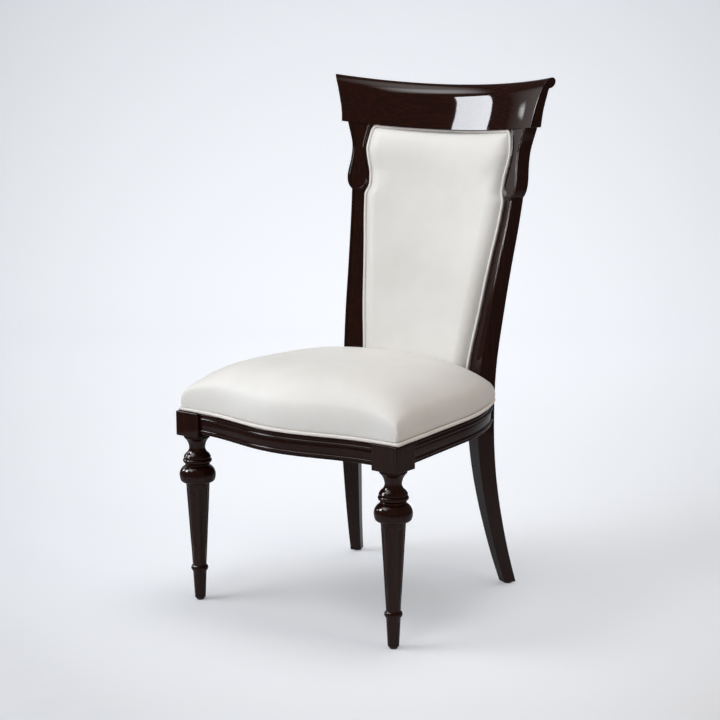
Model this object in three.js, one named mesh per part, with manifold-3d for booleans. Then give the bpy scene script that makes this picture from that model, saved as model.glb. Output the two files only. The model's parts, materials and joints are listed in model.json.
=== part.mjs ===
// Dining side chair in the klismos manner: dark lacquered frame, upholstered seat and back.
// Millimetres, +Z up. The sitter faces -Y. The origin is on the floor, under the middle of the chair.
// Inside this file, pieces are placed in the legs' frame: X = 0 is the middle, Y = 0 is the line
// between the axes of the two front legs, and Z = 0 is the floor.

import * as THREE from "three";
import { mergeVertices } from "three/addons/utils/BufferGeometryUtils.js";
import Module from "manifold-3d";

const wasm = await Module();
wasm.setup();

// Fits
const fitGap = 0.3;
const cutOver = 4;
const degree = Math.PI / 180;

// Front legs: a square block on a turned, fluted and tapered leg
const frontLegSpan = 491;
const blockSide = 58.4;
const blockHeight = 50;
const blockArris = 1.2;
const ballRadius = 35.8;
const turnedSegments = 16;
const fluteCount = 8;
const fluteDepth = 2.4;
const fluteWidthShare = 0.8;
const fluteFootShare = 0.236;
const fluteHeadShare = 0.6735;

// Seat frame
const seatTop = 396;
const railHeight = 42;
const railThick = 27;
const railInset = 4.5;
const mouldDepth = 3;
const bellyReach = 33;
const sideTaper = 5.2 * degree;
const sideBendTurn = 26.8 * degree;
const tenonLength = 20;
const tenonThick = 10;
const tenonHeight = 28;
const lapForward = 8;
const lapEndIn = 8.7;
const lapEndPast = 2.9;
const backRailThick = 22;

// Rear legs: each is sawn from one plank, from the foot to the crest, and turned inwards
const postTurn = 25 * degree;
const postTop = 952;
const rearNarrowing = 45.5;
const postReach = 468;
const postWide = 43;
const postDeep = 40;
const postArris = 1;
const coveDepth = 2.6;
const beadWidth = 5;
const pearLength = 148;
const pearHalfWide = 24;
const pearThick = 25;
const pearProud = 3.4;
const pearRim = 5;
const pearSink = 1.6;

// Crest rail: concave to the sitter, flared at its ends and rolled back along its top
const crestBend = 22 * degree;
const crestFlare = 1.9 * degree;
const crestOverhang = 37;
const crestSetBack = 4;
const crestHeight = 99;
const crestBottomDrop = 14;
const crestBottomRise = 14.5;
const crestTopRise = 20;
const crestThick = 26;
const crestLean = 18;
const rollRadius = 11;
const rollBack = 36.5;

// Upholstery
const seatBoardThick = 12;
const seatBoardInset = 16;
const seatPipingRadius = 3.5;
const cushionWall = 28.9;
const cushionRound = 15;
const cushionCrown = 84.8;
const cushionPeakShare = 0.2756;
const cushionCornerRadius = 10;
const backBoardThick = 6;
const backBoardTongue = 4;
const backPadCrown = 28;
const backCornerRadius = 8;
const backPipingRadius = 2.8;
const backPadClear = 1.4;
const backColumns = 12;
const dustCoverThick = 0.9;
const dustCoverInset = 8;

// Fixings
const glideRadius = 8;
const glideThick = 3;
const glidePinRadius = 1.6;
const glidePinLength = 14;
const blockTall = 28;
const cornerReach = 74;
const screwRadius = 2.2;
const screwHeadRadius = 4.4;
const seatScrewLength = 36;
const seatScrewInset = 12;
const dowelRadius = 4;
const dowelLength = 44;
const dowelSpacing = 18;
const dowelShift = 5;

// Sizes worked out from the ones above
const legX = frontLegSpan / 2;
const blockHalf = blockSide / 2;
const blockBottom = seatTop - blockHeight;
const railBottom = seatTop - railHeight;
const railEndX = legX - blockHalf;
const railFaceY = railInset - blockHalf;
const sideFaceX = legX + blockHalf - railInset;
const turnedLength = blockBottom - glideThick;
const fluteFootHeight = glideThick + turnedLength * fluteFootShare;
const fluteHeadHeight = glideThick + turnedLength * fluteHeadShare;
const postSpread = legX - rearNarrowing;
const pearBottom = postTop - pearLength;
const cushionPeakReach = postReach * cushionPeakShare;
const backPadBottom = seatTop + seatBoardThick + 3 * fitGap;
const backPipingGap = 4 * fitGap;
const backPadGap = 2 * (backPipingRadius + backPipingGap);
const crestRadius = (postSpread + crestOverhang) / Math.sin(crestBend);
const crestCentreY = postReach + crestSetBack - crestRadius * Math.cos(crestBend);
const crestBottomMiddle = postTop - crestBottomDrop;
const crestFrontMiddle = crestCentreY + crestRadius;
const crestDepth = rollBack + rollRadius;
const frontMost = railFaceY - bellyReach;
const backMost = crestFrontMiddle + crestDepth;
const shiftY = -(frontMost + backMost) / 2;

// Finishes
const finishes = {
  lacquer: { color: 0x24150f, roughness: 0.12, metalness: 0 },
  timber: { color: 0xb98f63, roughness: 0.6, metalness: 0 },
  plywood: { color: 0xc8a677, roughness: 0.65, metalness: 0 },
  leather: { color: 0xdedad3, roughness: 0.45, metalness: 0 },
  steel: { color: 0x9a9a98, roughness: 0.35, metalness: 1 },
  nylon: { color: 0x2b2a29, roughness: 0.5, metalness: 0 },
  cambric: { color: 0x1c1c1d, roughness: 0.9, metalness: 0 },
};

const chair = new THREE.Group();
chair.position.set(0, shiftY, 0);

// A smooth value read from rows whose first column rises: a cubic through the rows
function along(rows, column, at) {
  const last = rows.length - 1;
  const start = Math.min(Math.max(rows.findIndex((row) => row[0] > at) - 1, 0), last - 1);
  const from = at >= rows[last][0] ? last - 1 : start;
  const slope = (i) => {
    const a = Math.max(i - 1, 0);
    const b = Math.min(i + 1, last);
    return (rows[b][column] - rows[a][column]) / (rows[b][0] - rows[a][0]);
  };
  const span = rows[from + 1][0] - rows[from][0];
  const t = (at - rows[from][0]) / span;
  const s = 1 - t;
  const value = rows[from][column] * (1 + 2 * t) * s * s + rows[from + 1][column] * t * t * (3 - 2 * t);
  return value + span * (slope(from) * t * s * s - slope(from + 1) * t * t * s);
}

// Even shares from 0 to 1
function shares(count) {
  return Array.from({ length: count + 1 }, (_, i) => i / count);
}

// Triangles that close a flat ring, wound as the ring is
function capTriangles(ring) {
  const normal = new THREE.Vector3();
  ring.forEach((point, i) => {
    normal.add(new THREE.Vector3().crossVectors(point, ring[(i + 1) % ring.length]));
  });
  normal.normalize();
  const across = new THREE.Vector3(1, 0, 0);
  if (Math.abs(normal.x) > Math.abs(normal.z)) across.set(0, 0, 1);
  across.cross(normal).normalize();
  const up = new THREE.Vector3().crossVectors(normal, across);
  const flat = ring.map((point) => new THREE.Vector2(point.dot(across), point.dot(up)));
  return THREE.ShapeUtils.triangulateShape(flat, []).map(([a, b, c]) => {
    const turn = (flat[b].x - flat[a].x) * (flat[c].y - flat[a].y)
      - (flat[b].y - flat[a].y) * (flat[c].x - flat[a].x);
    return turn > 0 ? [a, b, c] : [a, c, b];
  });
}

// A closed skin over rings of points; each end is a flat cap, or a fan to one point
function loft(rings, startPoint = null, endPoint = null) {
  const points = rings.flat();
  const count = rings[0].length;
  const faces = [];
  for (let i = 0; i + 1 < rings.length; i += 1) {
    for (let j = 0; j < count; j += 1) {
      const k = (j + 1) % count;
      const a = i * count;
      const b = a + count;
      faces.push([a + j, a + k, b + k], [a + j, b + k, b + j]);
    }
  }
  const lastRing = (rings.length - 1) * count;
  if (startPoint) {
    points.push(startPoint);
    for (let j = 0; j < count; j += 1) faces.push([points.length - 1, (j + 1) % count, j]);
  } else {
    capTriangles(rings[0]).forEach(([a, b, c]) => faces.push([a, c, b]));
  }
  if (endPoint) {
    points.push(endPoint);
    for (let j = 0; j < count; j += 1) {
      faces.push([points.length - 1, lastRing + j, lastRing + ((j + 1) % count)]);
    }
  } else {
    capTriangles(rings[rings.length - 1]).forEach((face) => faces.push(face.map((i) => i + lastRing)));
  }
  let volume = 0;
  faces.forEach(([a, b, c]) => {
    volume += points[a].dot(new THREE.Vector3().crossVectors(points[b], points[c]));
  });
  if (volume < 0) faces.forEach((face) => face.reverse());
  const geometry = new THREE.BufferGeometry().setFromPoints(points);
  geometry.setIndex(faces.flat());
  return geometry;
}

// A geometry as a solid that can be joined and cut
function solid(geometry) {
  const bare = geometry.clone();
  bare.deleteAttribute("normal");
  bare.deleteAttribute("uv");
  const merged = mergeVertices(bare);
  return new wasm.Manifold(new wasm.Mesh({
    numProp: 3,
    vertProperties: new Float32Array(merged.attributes.position.array),
    triVerts: new Uint32Array(merged.index.array),
  }));
}

// Adds one named piece to the chair
function addPiece(name, body, finish) {
  const mesh = body.getMesh();
  const geometry = new THREE.BufferGeometry();
  geometry.setAttribute("position", new THREE.BufferAttribute(new Float32Array(mesh.vertProperties), 3));
  geometry.setIndex(new THREE.BufferAttribute(new Uint32Array(mesh.triVerts), 1));
  geometry.computeVertexNormals();
  const piece = new THREE.Mesh(geometry, new THREE.MeshStandardMaterial(finishes[finish]));
  piece.name = name;
  chair.add(piece);
}

// A box between two corners
function boxBetween(low, high) {
  const size = high.clone().sub(low);
  const box = new THREE.BoxGeometry(size.x, size.y, size.z);
  const middle = low.clone().add(high).multiplyScalar(0.5);
  return solid(box.translate(middle.x, middle.y, middle.z));
}

// A round rod from one point to another; its radii are listed with their shares of the length
function rodBetween(from, to, radii, segments) {
  const axis = to.clone().sub(from);
  const length = axis.length();
  const profile = radii.map(([radius, share]) => new THREE.Vector2(radius, share * length));
  profile.unshift(new THREE.Vector2(0, profile[0].y));
  profile.push(new THREE.Vector2(0, profile[profile.length - 1].y));
  const rod = new THREE.LatheGeometry(profile, segments);
  const turn = new THREE.Quaternion().setFromUnitVectors(new THREE.Vector3(0, 1, 0), axis.normalize());
  return solid(rod.applyQuaternion(turn).translate(from.x, from.y, from.z));
}

// An upright prism over a plan outline
function prism(outline, bottom, height) {
  const shape = new THREE.Shape(outline);
  const geometry = new THREE.ExtrudeGeometry(shape, { depth: height, bevelEnabled: false });
  return solid(geometry.translate(0, 0, bottom));
}

// Rear post line: height, sideways, back, width and depth as shares of the post's own sizes
const postShares = [
  [0.000, 1.000, 1.000, 0.540, 0.660],
  [0.063, 0.958, 0.964, 0.610, 0.720],
  [0.126, 0.921, 0.934, 0.690, 0.775],
  [0.189, 0.889, 0.909, 0.760, 0.840],
  [0.252, 0.865, 0.889, 0.830, 0.900],
  [0.315, 0.848, 0.877, 0.905, 0.955],
  [0.378, 0.832, 0.877, 0.960, 1.000],
  [0.441, 0.822, 0.886, 0.995, 1.000],
  [0.500, 0.829, 0.899, 0.985, 0.950],
  [0.578, 0.865, 0.923, 0.890, 0.850],
  [0.656, 0.898, 0.952, 0.805, 0.795],
  [0.735, 0.935, 0.983, 0.725, 0.745],
  [0.788, 0.963, 1.004, 0.670, 0.700],
  [0.840, 0.984, 1.022, 0.660, 0.650],
  [0.920, 1.013, 1.047, 0.660, 0.640],
  [1.000, 1.041, 1.071, 0.660, 0.640],
];

// Pear-shaped head: height above its foot, and half width, as shares
const pearShares = [
  [0.000, 0.240],
  [0.020, 0.480],
  [0.055, 0.720],
  [0.110, 0.920],
  [0.190, 1.000],
  [0.280, 0.950],
  [0.365, 0.830],
  [0.460, 0.715],
  [0.555, 0.640],
  [0.650, 0.635],
  [0.750, 0.745],
  [0.850, 0.915],
  [0.950, 1.090],
  [1.060, 1.240],
];

function postAt(height) {
  const share = height / postTop;
  return {
    x: along(postShares, 1, share) * postSpread,
    y: along(postShares, 2, share) * postReach,
    wide: along(postShares, 3, share) * postWide,
    deep: along(postShares, 4, share) * postDeep,
  };
}

// A point of the right or left post: outwards along its face, forwards from its middle
function postPoint(side, height, out, forward) {
  const post = postAt(height);
  const x = post.x + out * Math.cos(postTurn) - forward * Math.sin(postTurn);
  const y = post.y - out * Math.sin(postTurn) - forward * Math.cos(postTurn);
  return new THREE.Vector3(side * x, y, height);
}

function pearHalf(height) {
  return along(pearShares, 1, (height - pearBottom) / pearLength) * pearHalfWide;
}

// Half width of a post with its pear head
function postHalf(height) {
  const shaft = postAt(height).wide / 2;
  return height > pearBottom ? Math.max(shaft, pearHalf(height)) : shaft;
}

// The back is part of a cylinder through both posts: angle from the middle, depth forwards, height
function backPoint(angle, forward, height) {
  const post = postAt(height);
  const radius = post.x / Math.sin(postTurn) - forward;
  const centre = post.y - post.x / Math.tan(postTurn);
  return new THREE.Vector3(radius * Math.sin(angle), centre + radius * Math.cos(angle), height);
}

// Angle at which the back meets the inner face of a post, or of its shaft without the pear head
function backEdge(forward, height, gap, half = postHalf(height)) {
  const radius = postAt(height).x / Math.sin(postTurn) - forward;
  return postTurn - Math.atan((half + gap) / radius);
}

// Crest: height of its lower edge and its whole height, by share of the half span
const crestLow = (share) => crestBottomMiddle + crestBottomRise * share * share;
const crestTall = (share) => crestHeight + (crestTopRise - crestBottomRise) * (share * share - 1);

// Height of the crest's lower edge over a point of the plan
function crestLowOver({ x, y }) {
  return crestLow(Math.atan2(x, y - crestCentreY) / crestBend);
}

// Crest section: depth back as a share of the crest's depth, height as a share of its height
function crestSection() {
  const front = shares(6).map((t) => [crestLean * t / crestDepth, t * 0.8]);
  const sweep = [[0.475, 0.89], [0.565, 0.955], [0.655, 0.985]];
  const rollHigh = 2 * rollRadius / crestHeight;
  const roll = shares(7).map((t) => {
    const angle = (90 - 180 * t) * degree;
    const back = (rollBack + rollRadius * Math.cos(angle)) / crestDepth;
    return [back, 1 - rollHigh / 2 + rollHigh / 2 * Math.sin(angle)];
  });
  const backShares = [[0.735, 0.7], [0.665, 0.56], [0.605, 0.27]];
  return [...front, ...sweep, ...roll, ...backShares, [crestThick / crestDepth, 0]];
}

function crestPoint(across, depthShare, heightShare) {
  const angle = across * (crestBend + crestFlare * heightShare ** 1.7);
  const radius = crestRadius + depthShare * crestDepth;
  const height = crestLow(across) + heightShare * crestTall(across);
  return new THREE.Vector3(radius * Math.sin(angle), crestCentreY + radius * Math.cos(angle), height);
}

function crestSolid() {
  const section = crestSection();
  const rings = shares(24).map((t) => {
    const across = 2 * t - 1;
    return section.map(([depth, height]) => crestPoint(across, depth, height));
  });
  return solid(loft(rings));
}

// Everything above the crest's lower face, to trim what stands under it
function aboveCrest(gap) {
  const rings = shares(24).map((t) => {
    const across = (2 * t - 1) * 1.25;
    const low = crestLow(across) - gap;
    return [[-1.5, 0], [2.5, 0], [2.5, 1], [-1.5, 1]].map(([depth, top]) => {
      const point = crestPoint(across, depth, 0);
      return point.setZ(low + top * crestHeight);
    });
  });
  return solid(loft(rings));
}

// Section of a post below its head, from the inner back corner round to the inner front corner.
// The front has a bead along its outer edge and a cove beside it, which fade out at the seat.
function postRing(side, height, grow, moulded) {
  const post = postAt(height);
  const halfWide = post.wide / 2 + grow;
  const halfDeep = post.deep / 2 + grow;
  const fade = THREE.MathUtils.smoothstep(height, seatTop + cushionWall, seatTop + 2 * cushionWall);
  const sink = moulded ? coveDepth * fade : 0;
  const bead = halfWide - beadWidth;
  const plan = [
    [-halfWide + postArris, -halfDeep],
    [halfWide - postArris, -halfDeep],
    [halfWide, -halfDeep + postArris],
    [halfWide, halfDeep - postArris],
    [halfWide - beadWidth / 4, halfDeep],
    [halfWide - beadWidth * 3 / 4, halfDeep],
    [bead, halfDeep - sink / 2],
    [bead - halfWide / 4, halfDeep - sink],
    [-halfWide / 4, halfDeep - sink * 0.8],
    [-halfWide + 2 * postArris, halfDeep - sink * 0.1],
    [-halfWide, halfDeep - postArris - sink * 0.1],
    [-halfWide, -halfDeep + postArris],
  ];
  return plan.map(([out, forward]) => postPoint(side, height, out, forward));
}

function postBlank(side, low, high, grow, moulded) {
  const rings = shares(20).map((t) => postRing(side, low + (high - low) * t, grow, moulded));
  return solid(loft(rings));
}

// A pear-shaped slab across the post, between two depths, shrunk by an inset
function pearSlab(side, inset, backDepth, frontDepth) {
  const up = shares(15).map((t) => t ** 1.25);
  const low = pearBottom + inset;
  const high = postTop + pearLength / 12;
  const level = (t) => low + (high - low) * t;
  const half = (z) => Math.max(pearHalf(Math.max(z - inset * 0.3, pearBottom)) - inset, pearHalfWide / 12);
  const right = up.map((t) => [half(level(t)), level(t)]);
  const left = right.map(([out, z]) => [-out, z]).reverse();
  const outline = [...right, ...left];
  const ring = (forward) => outline.map(([out, z]) => postPoint(side, z, out, forward));
  return solid(loft([ring(backDepth), ring(frontDepth)]));
}

function rearLeg(side, cutters) {
  const face = pearThick / 2 + pearProud;
  let leg = postBlank(side, glideThick + fitGap, postTop + pearLength / 12, 0, true);
  leg = leg.add(pearSlab(side, 0, -pearThick / 2, face));
  leg = leg.subtract(pearSlab(side, pearRim, face - pearSink, face + cutOver));
  leg = leg.add(pearSlab(side, pearRim * 1.6, face - 2 * pearSink, face - pearSink / 3));
  cutters.forEach((cutter) => {
    leg = leg.subtract(cutter);
  });
  const foot = postPoint(side, 0, 0, 0);
  return leg.subtract(glidePinHole(foot));
}

// Glide: a disc under the foot with a pin driven into the leg
const glidePinHole = (foot) => rodBetween(
  new THREE.Vector3(foot.x, foot.y, 0),
  new THREE.Vector3(foot.x, foot.y, glideThick + glidePinLength),
  [[glidePinRadius + fitGap, 0], [glidePinRadius + fitGap, 1 + fitGap / glidePinLength]],
  8,
);

function glide(foot) {
  const whole = glideThick + glidePinLength;
  const lip = glideThick / whole;
  return rodBetween(
    new THREE.Vector3(foot.x, foot.y, 0),
    new THREE.Vector3(foot.x, foot.y, whole),
    [[glideRadius * 0.94, 0], [glideRadius, lip / 3], [glideRadius, lip], [glidePinRadius, lip],
      [glidePinRadius / 3, 1]],
    12,
  );
}

// Turned leg: radius as a share of the ball's radius, height as a share of the turned length
const turningShares = [
  [0.235, 0.000], [0.285, 0.009], [0.305, 0.030], [0.372, 0.152],
  [0.420, 0.158], [0.476, 0.169], [0.480, 0.184], [0.420, 0.197], [0.396, 0.206],
  [0.402, 0.219], [0.660, 0.692], [0.704, 0.700], [0.700, 0.712],
  [0.830, 0.713], [0.940, 0.735], [1.000, 0.762], [0.970, 0.785],
  [0.880, 0.806], [0.668, 0.826], [0.700, 0.833], [0.796, 0.843],
  [0.800, 0.853], [0.722, 0.861], [0.742, 0.868], [0.690, 0.881],
  [0.520, 0.902], [0.460, 0.925], [0.460, 0.948], [0.505, 0.958],
  [0.535, 0.972], [0.610, 0.981], [0.715, 0.990], [0.715, 1.008],
];

function shaftRadius(height) {
  const foot = turningShares.find(([, share]) => share === 0.219);
  const head = turningShares.find(([, share]) => share === 0.692);
  const share = (height - glideThick) / turnedLength;
  return ballRadius * THREE.MathUtils.mapLinear(share, foot[1], head[1], foot[0], head[0]);
}

// One flute: a slim round-ended rod that is sunk into the shaft
function fluteCutter(axisX, angle) {
  const stepShares = [0, 0.03, 0.08, 0.5, 0.94, 0.98, 1];
  const swellShares = [0.1, 0.75, 1, 1, 1, 0.75, 0.1];
  const rings = stepShares.map((t, i) => {
    const height = fluteFootHeight + (fluteHeadHeight - fluteFootHeight) * t;
    const radius = shaftRadius(height);
    const half = fluteWidthShare * Math.PI * radius / fluteCount * swellShares[i];
    const depth = fluteDepth * radius / shaftRadius(fluteHeadHeight) * swellShares[i];
    const round = (half * half + depth * depth) / (2 * depth);
    const reach = Math.asin(Math.min(half / round, 1)) * 1.12;
    const ring = shares(4).map((u) => {
      const turn = reach * (2 * u - 1);
      return [radius - depth + round * (1 - Math.cos(turn)), round * Math.sin(turn)];
    });
    ring.push([radius + cutOver, ring[4][1]], [radius + cutOver, ring[0][1]]);
    return ring.map(([out, wide]) => new THREE.Vector3(
      axisX + out * Math.cos(angle) - wide * Math.sin(angle),
      out * Math.sin(angle) + wide * Math.cos(angle),
      height,
    ));
  });
  return solid(loft(rings));
}

function squareRing(x, half, height) {
  const cut = half - blockArris;
  return [[-cut, -half], [cut, -half], [half, -cut], [half, cut], [cut, half], [-cut, half], [-half, cut], [-half, -cut]]
    .map(([dx, dy]) => new THREE.Vector3(x + dx, dy, height));
}

function frontLeg(side, cutters) {
  const x = side * legX;
  const profile = turningShares.map(([radius, height]) => (
    new THREE.Vector2(radius * ballRadius, glideThick + fitGap + height * turnedLength)
  ));
  profile.unshift(new THREE.Vector2(0, profile[0].y));
  profile.push(new THREE.Vector2(0, profile[profile.length - 1].y));
  const turned = new THREE.LatheGeometry(profile, turnedSegments);
  let leg = solid(turned.rotateX(Math.PI / 2).translate(x, 0, 0));
  for (let i = 0; i < fluteCount; i += 1) {
    leg = leg.subtract(fluteCutter(x, (i + 0.5) * 2 * Math.PI / fluteCount));
  }
  const block = loft([
    squareRing(x, blockHalf - blockArris, blockBottom),
    squareRing(x, blockHalf, blockBottom + blockArris),
    squareRing(x, blockHalf, seatTop - blockArris),
    squareRing(x, blockHalf - blockArris, seatTop),
  ]);
  leg = leg.add(solid(block));
  cutters.forEach((cutter) => {
    leg = leg.subtract(cutter);
  });
  return leg.subtract(glidePinHole(new THREE.Vector3(x, 0, 0)));
}

// Rail moulding: sink below the outermost face, and drop from the top, as shares
const railShares = [
  [0.80, 0.00], [0.45, 0.02], [0.45, 0.08], [0.95, 0.12], [1.00, 0.18],
  [0.45, 0.20], [0.10, 0.23], [0.00, 0.26], [0.10, 0.29], [0.45, 0.32], [1.00, 0.35],
  [0.90, 0.42], [0.90, 0.70], [1.00, 0.76], [0.45, 0.78], [0.05, 0.84], [0.45, 0.89],
  [0.95, 0.91], [0.45, 0.93], [0.45, 1.00],
];

// A moulded rail along stations of a plan line: a point on the outer face and the way outwards
function railSolid(stations, grow, thick) {
  const rings = stations.map(({ x, y, outX, outY }) => {
    const ring = railShares.map(([sink, drop]) => {
      const out = grow - sink * mouldDepth;
      const height = seatTop - drop * railHeight + grow * (1 - 2 * drop);
      return new THREE.Vector3(x + outX * out, y + outY * out, height);
    });
    [railBottom - grow, seatTop + grow].forEach((height) => {
      ring.push(new THREE.Vector3(x - outX * (thick + grow), y - outY * (thick + grow), height));
    });
    return ring;
  });
  return solid(loft(rings));
}

// Serpentine front: the rail swells forwards in the middle
function frontFace(x) {
  const share = Math.min(Math.abs(x) / railEndX, 1);
  return railFaceY - bellyReach * (0.5 + 0.5 * Math.cos(Math.PI * share));
}

function frontStations(gap) {
  const end = railEndX - gap;
  return shares(18).map((t) => {
    const x = end * (2 * t - 1);
    const share = x / railEndX;
    const slope = bellyReach * Math.PI / 2 / railEndX * Math.sin(Math.PI * share);
    const length = Math.hypot(1, slope);
    return { x, y: frontFace(x), outX: slope / length, outY: -1 / length };
  });
}

// Side line: straight and tapered, then bent inwards to lap the rear leg. The straight part's length
// and the bend's radius follow from where the line starts, at the front leg, and ends, at the rear leg.
const sideEndTurn = sideTaper + sideBendTurn;
const railMiddle = (seatTop + railBottom) / 2;
const lapPost = postAt(railMiddle);
const lapEnd = postPoint(1, railMiddle, lapPost.wide / 2 - lapEndIn, -lapPost.deep / 2 - lapEndPast);
const sideInward = sideFaceX - lapEnd.x;
const sideBack = lapEnd.y - blockHalf;
const bendInward = Math.cos(sideTaper) - Math.cos(sideEndTurn);
const bendBack = Math.sin(sideEndTurn) - Math.sin(sideTaper);
const bendSlack = 1 - Math.cos(sideBendTurn);
const sideBendRadius = (sideInward * Math.cos(sideTaper) - sideBack * Math.sin(sideTaper)) / bendSlack;
const sideStraight = (sideBack * bendInward - sideInward * bendBack) / bendSlack;
const sideRun = sideStraight + sideBendRadius * sideBendTurn;

function sidePlace(side, run) {
  const bend = Math.max(run - sideStraight, 0);
  const straight = Math.min(run, sideStraight);
  const turn = bend / sideBendRadius;
  const angle = sideTaper + turn;
  const inward = straight * Math.sin(sideTaper)
    + sideBendRadius * (Math.cos(sideTaper) - Math.cos(angle));
  const back = straight * Math.cos(sideTaper)
    + sideBendRadius * (Math.sin(angle) - Math.sin(sideTaper));
  return {
    x: side * (sideFaceX - inward),
    y: blockHalf + back,
    outX: side * Math.cos(angle),
    outY: Math.sin(angle),
  };
}

// A side rail's body: its straight part is one step, and its bend has even steps
function sideRail(side, grow) {
  const bend = shares(9).map((t) => sidePlace(side, sideStraight + (sideRun - sideStraight) * t));
  const body = railSolid([sidePlace(side, -mouldDepth), ...bend], grow, railThick);
  return body.trimByPlane([0, 1, 0], blockHalf + fitGap - grow);
}

// Tenons of the front and side rails in a front leg's block
function frontTenon(side, grow) {
  const middle = railFaceY - mouldDepth + railThick / 2 + mouldDepth / 2;
  const low = (seatTop + railBottom - tenonHeight) / 2;
  const ends = [side * (railEndX - cutOver), side * (railEndX + tenonLength + grow)];
  return boxBetween(
    new THREE.Vector3(Math.min(...ends), middle - tenonThick / 2 - grow, low - grow),
    new THREE.Vector3(Math.max(...ends), middle + tenonThick / 2 + grow, low + tenonHeight + grow),
  );
}

function sideTenon(side, grow) {
  const middle = side * (sideFaceX - railThick / 2);
  const low = (seatTop + railBottom - tenonHeight) / 2;
  return boxBetween(
    new THREE.Vector3(middle - tenonThick / 2 - grow, blockHalf - tenonLength - grow, low - grow),
    new THREE.Vector3(middle + tenonThick / 2 + grow, blockHalf + cutOver, low + tenonHeight + grow),
  );
}

// A box that stands square to a rear leg at the seat rails: outwards, forwards and up, each from and to
function postBox(side, outs, forwards, heights) {
  const corners = [[0, 0], [1, 0], [1, 1], [0, 1]];
  const rings = heights.map((height) => corners.map(([i, j]) => (
    postPoint(side, railMiddle, outs[i], forwards[j]).setZ(height)
  )));
  return solid(loft(rings));
}

// Stub tenon of a side rail, let into the outer side of the rear leg where the rail laps it
function lapTenon(side, grow) {
  const outer = lapPost.wide / 2;
  const half = tenonThick / 2 + grow;
  const tall = tenonHeight / 2 + grow;
  return postBox(
    side,
    [outer - tenonLength * 0.7 - grow, outer + tenonLength * 0.3 + grow],
    [lapForward - half, lapForward + half],
    [railMiddle - tall, railMiddle + tall],
  );
}

// The space behind a rear leg, which a side rail and its piping must not reach
function behindLeg(side) {
  const outer = postWide / 2 - cutOver;
  const heights = [railBottom - cutOver, seatTop + cushionWall];
  return postBox(side, [-postWide, outer], [-2 * postDeep, 0], heights);
}

// A curved rail between the posts, in the back's own cylinder
function curvedRail(reach, thick, bottom, height, grow) {
  const middle = bottom + height / 2;
  const rings = shares(12).map((t) => {
    const half = thick / 2 + grow;
    return [[-half, -grow], [half, -grow], [half, height + grow], [-half, height + grow]]
      .map(([forward, rise]) => {
        const edge = backEdge(forward, middle, -reach);
        return backPoint(edge * (2 * t - 1), forward, middle).setZ(bottom + rise);
      });
  });
  return solid(loft(rings));
}

function backRail(grow) {
  const tenonLow = railBottom + (railHeight - tenonHeight) / 2;
  const body = curvedRail(-fitGap, backRailThick, railBottom, railHeight, grow);
  return body.add(curvedRail(tenonLength * 0.8 + grow, tenonThick, tenonLow, tenonHeight, grow));
}

// Right half of the seat's plan outline, from the middle of the front to the rear leg
function seatEdge(inset) {
  const round = cushionCornerRadius;
  const cornerY = railFaceY + inset + round;
  const faceX = sideFaceX + (blockHalf - railFaceY - inset) * Math.tan(sideTaper);
  const cornerX = faceX - inset / Math.cos(sideTaper) - round;
  const front = shares(8).map((t) => cornerX * t).map((x) => new THREE.Vector2(x, frontFace(x) + inset));
  const corner = shares(3).slice(1).map((t) => {
    const turn = Math.PI / 2 * (t - 1);
    return new THREE.Vector2(cornerX + round * Math.cos(turn), cornerY + round * Math.sin(turn));
  });
  const runs = [sideStraight / 2, ...shares(6).map((t) => sideStraight + (sideRun - sideStraight) * t)];
  const sides = runs.map((run) => {
    const { x, y, outX, outY } = sidePlace(1, run);
    return new THREE.Vector2(x - outX * inset, y - outY * inset);
  });
  return [...front, ...corner, ...sides];
}

// Whole plan outline: front, right side, back between the posts, left side
function seatOutline(inset, rearForward) {
  const right = seatEdge(inset);
  const height = seatTop + seatBoardThick;
  const edge = backEdge(rearForward, height, 0);
  const rear = shares(4).map((t) => backPoint(edge * (1 - t), rearForward, height))
    .map((point) => new THREE.Vector2(point.x, point.y));
  const half = [...right, ...rear];
  const other = half.slice(1, -1).map((point) => new THREE.Vector2(-point.x, point.y)).reverse();
  return [...half, ...other];
}

// Depth of the back pad's front face: level with the posts at its edge, crowned in the middle
function padFront(across, share, height) {
  const edge = postAt(height).deep / 2 - backPipingRadius;
  const crownAcross = (1 - Math.abs(across) ** 7) ** 0.5;
  const crownUp = (1 - Math.abs(2 * share - 1) ** 9) ** 0.6;
  return edge + backPadCrown * crownAcross * crownUp;
}

// Rows of the back's height, closer together where the posts bend and beside the pear heads
const bendRowShares = [0, 0.03, 0.08, 0.14, 0.22, 0.34, 0.5, 0.66];
const pearRowShares = [0.73, 0.752, 0.766, 0.784, 0.81, 0.86, 0.91, 0.95];
const backRowShares = [...bendRowShares, ...pearRowShares, 0.985, 0.995, 1];
const boardRowShares = [...bendRowShares, 0.755, 0.86, 1];

// Upper edge of the back under the crest, from the middle to one edge
function backTop(across, gap) {
  let height = crestBottomMiddle;
  for (let pass = 0; pass < 4; pass += 1) {
    height = crestLowOver(backPoint(across * backEdge(0, height, gap), 0, height)) - gap;
  }
  return height;
}

// A curved panel between the posts, as rows of points: front and back give its two depths,
// and edge gives the angle of its side at a depth, a height and a share of the panel's height
function backPanel({ bottom, topGap, front, back, edge, columns, rows }) {
  const rings = rows.map((share) => {
    const row = (depth) => shares(columns).map((t) => {
      const across = 2 * t - 1;
      const height = bottom + (backTop(across, topGap) - bottom) * share;
      const forward = depth(across, share, height);
      return backPoint(across * edge(forward, height, share), forward, height);
    });
    return [...row(front), ...row(back).reverse()];
  });
  return solid(loft(rings));
}

function backBoard(grow) {
  return backPanel({
    bottom: seatTop + fitGap - grow,
    topGap: -cutOver,
    front: () => backBoardThick / 2 + grow,
    back: () => -backBoardThick / 2 - grow,
    edge: (forward, height) => backEdge(forward, height, -backBoardTongue - grow, postAt(height).wide / 2),
    columns: backColumns / 2,
    rows: boardRowShares,
  });
}

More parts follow.
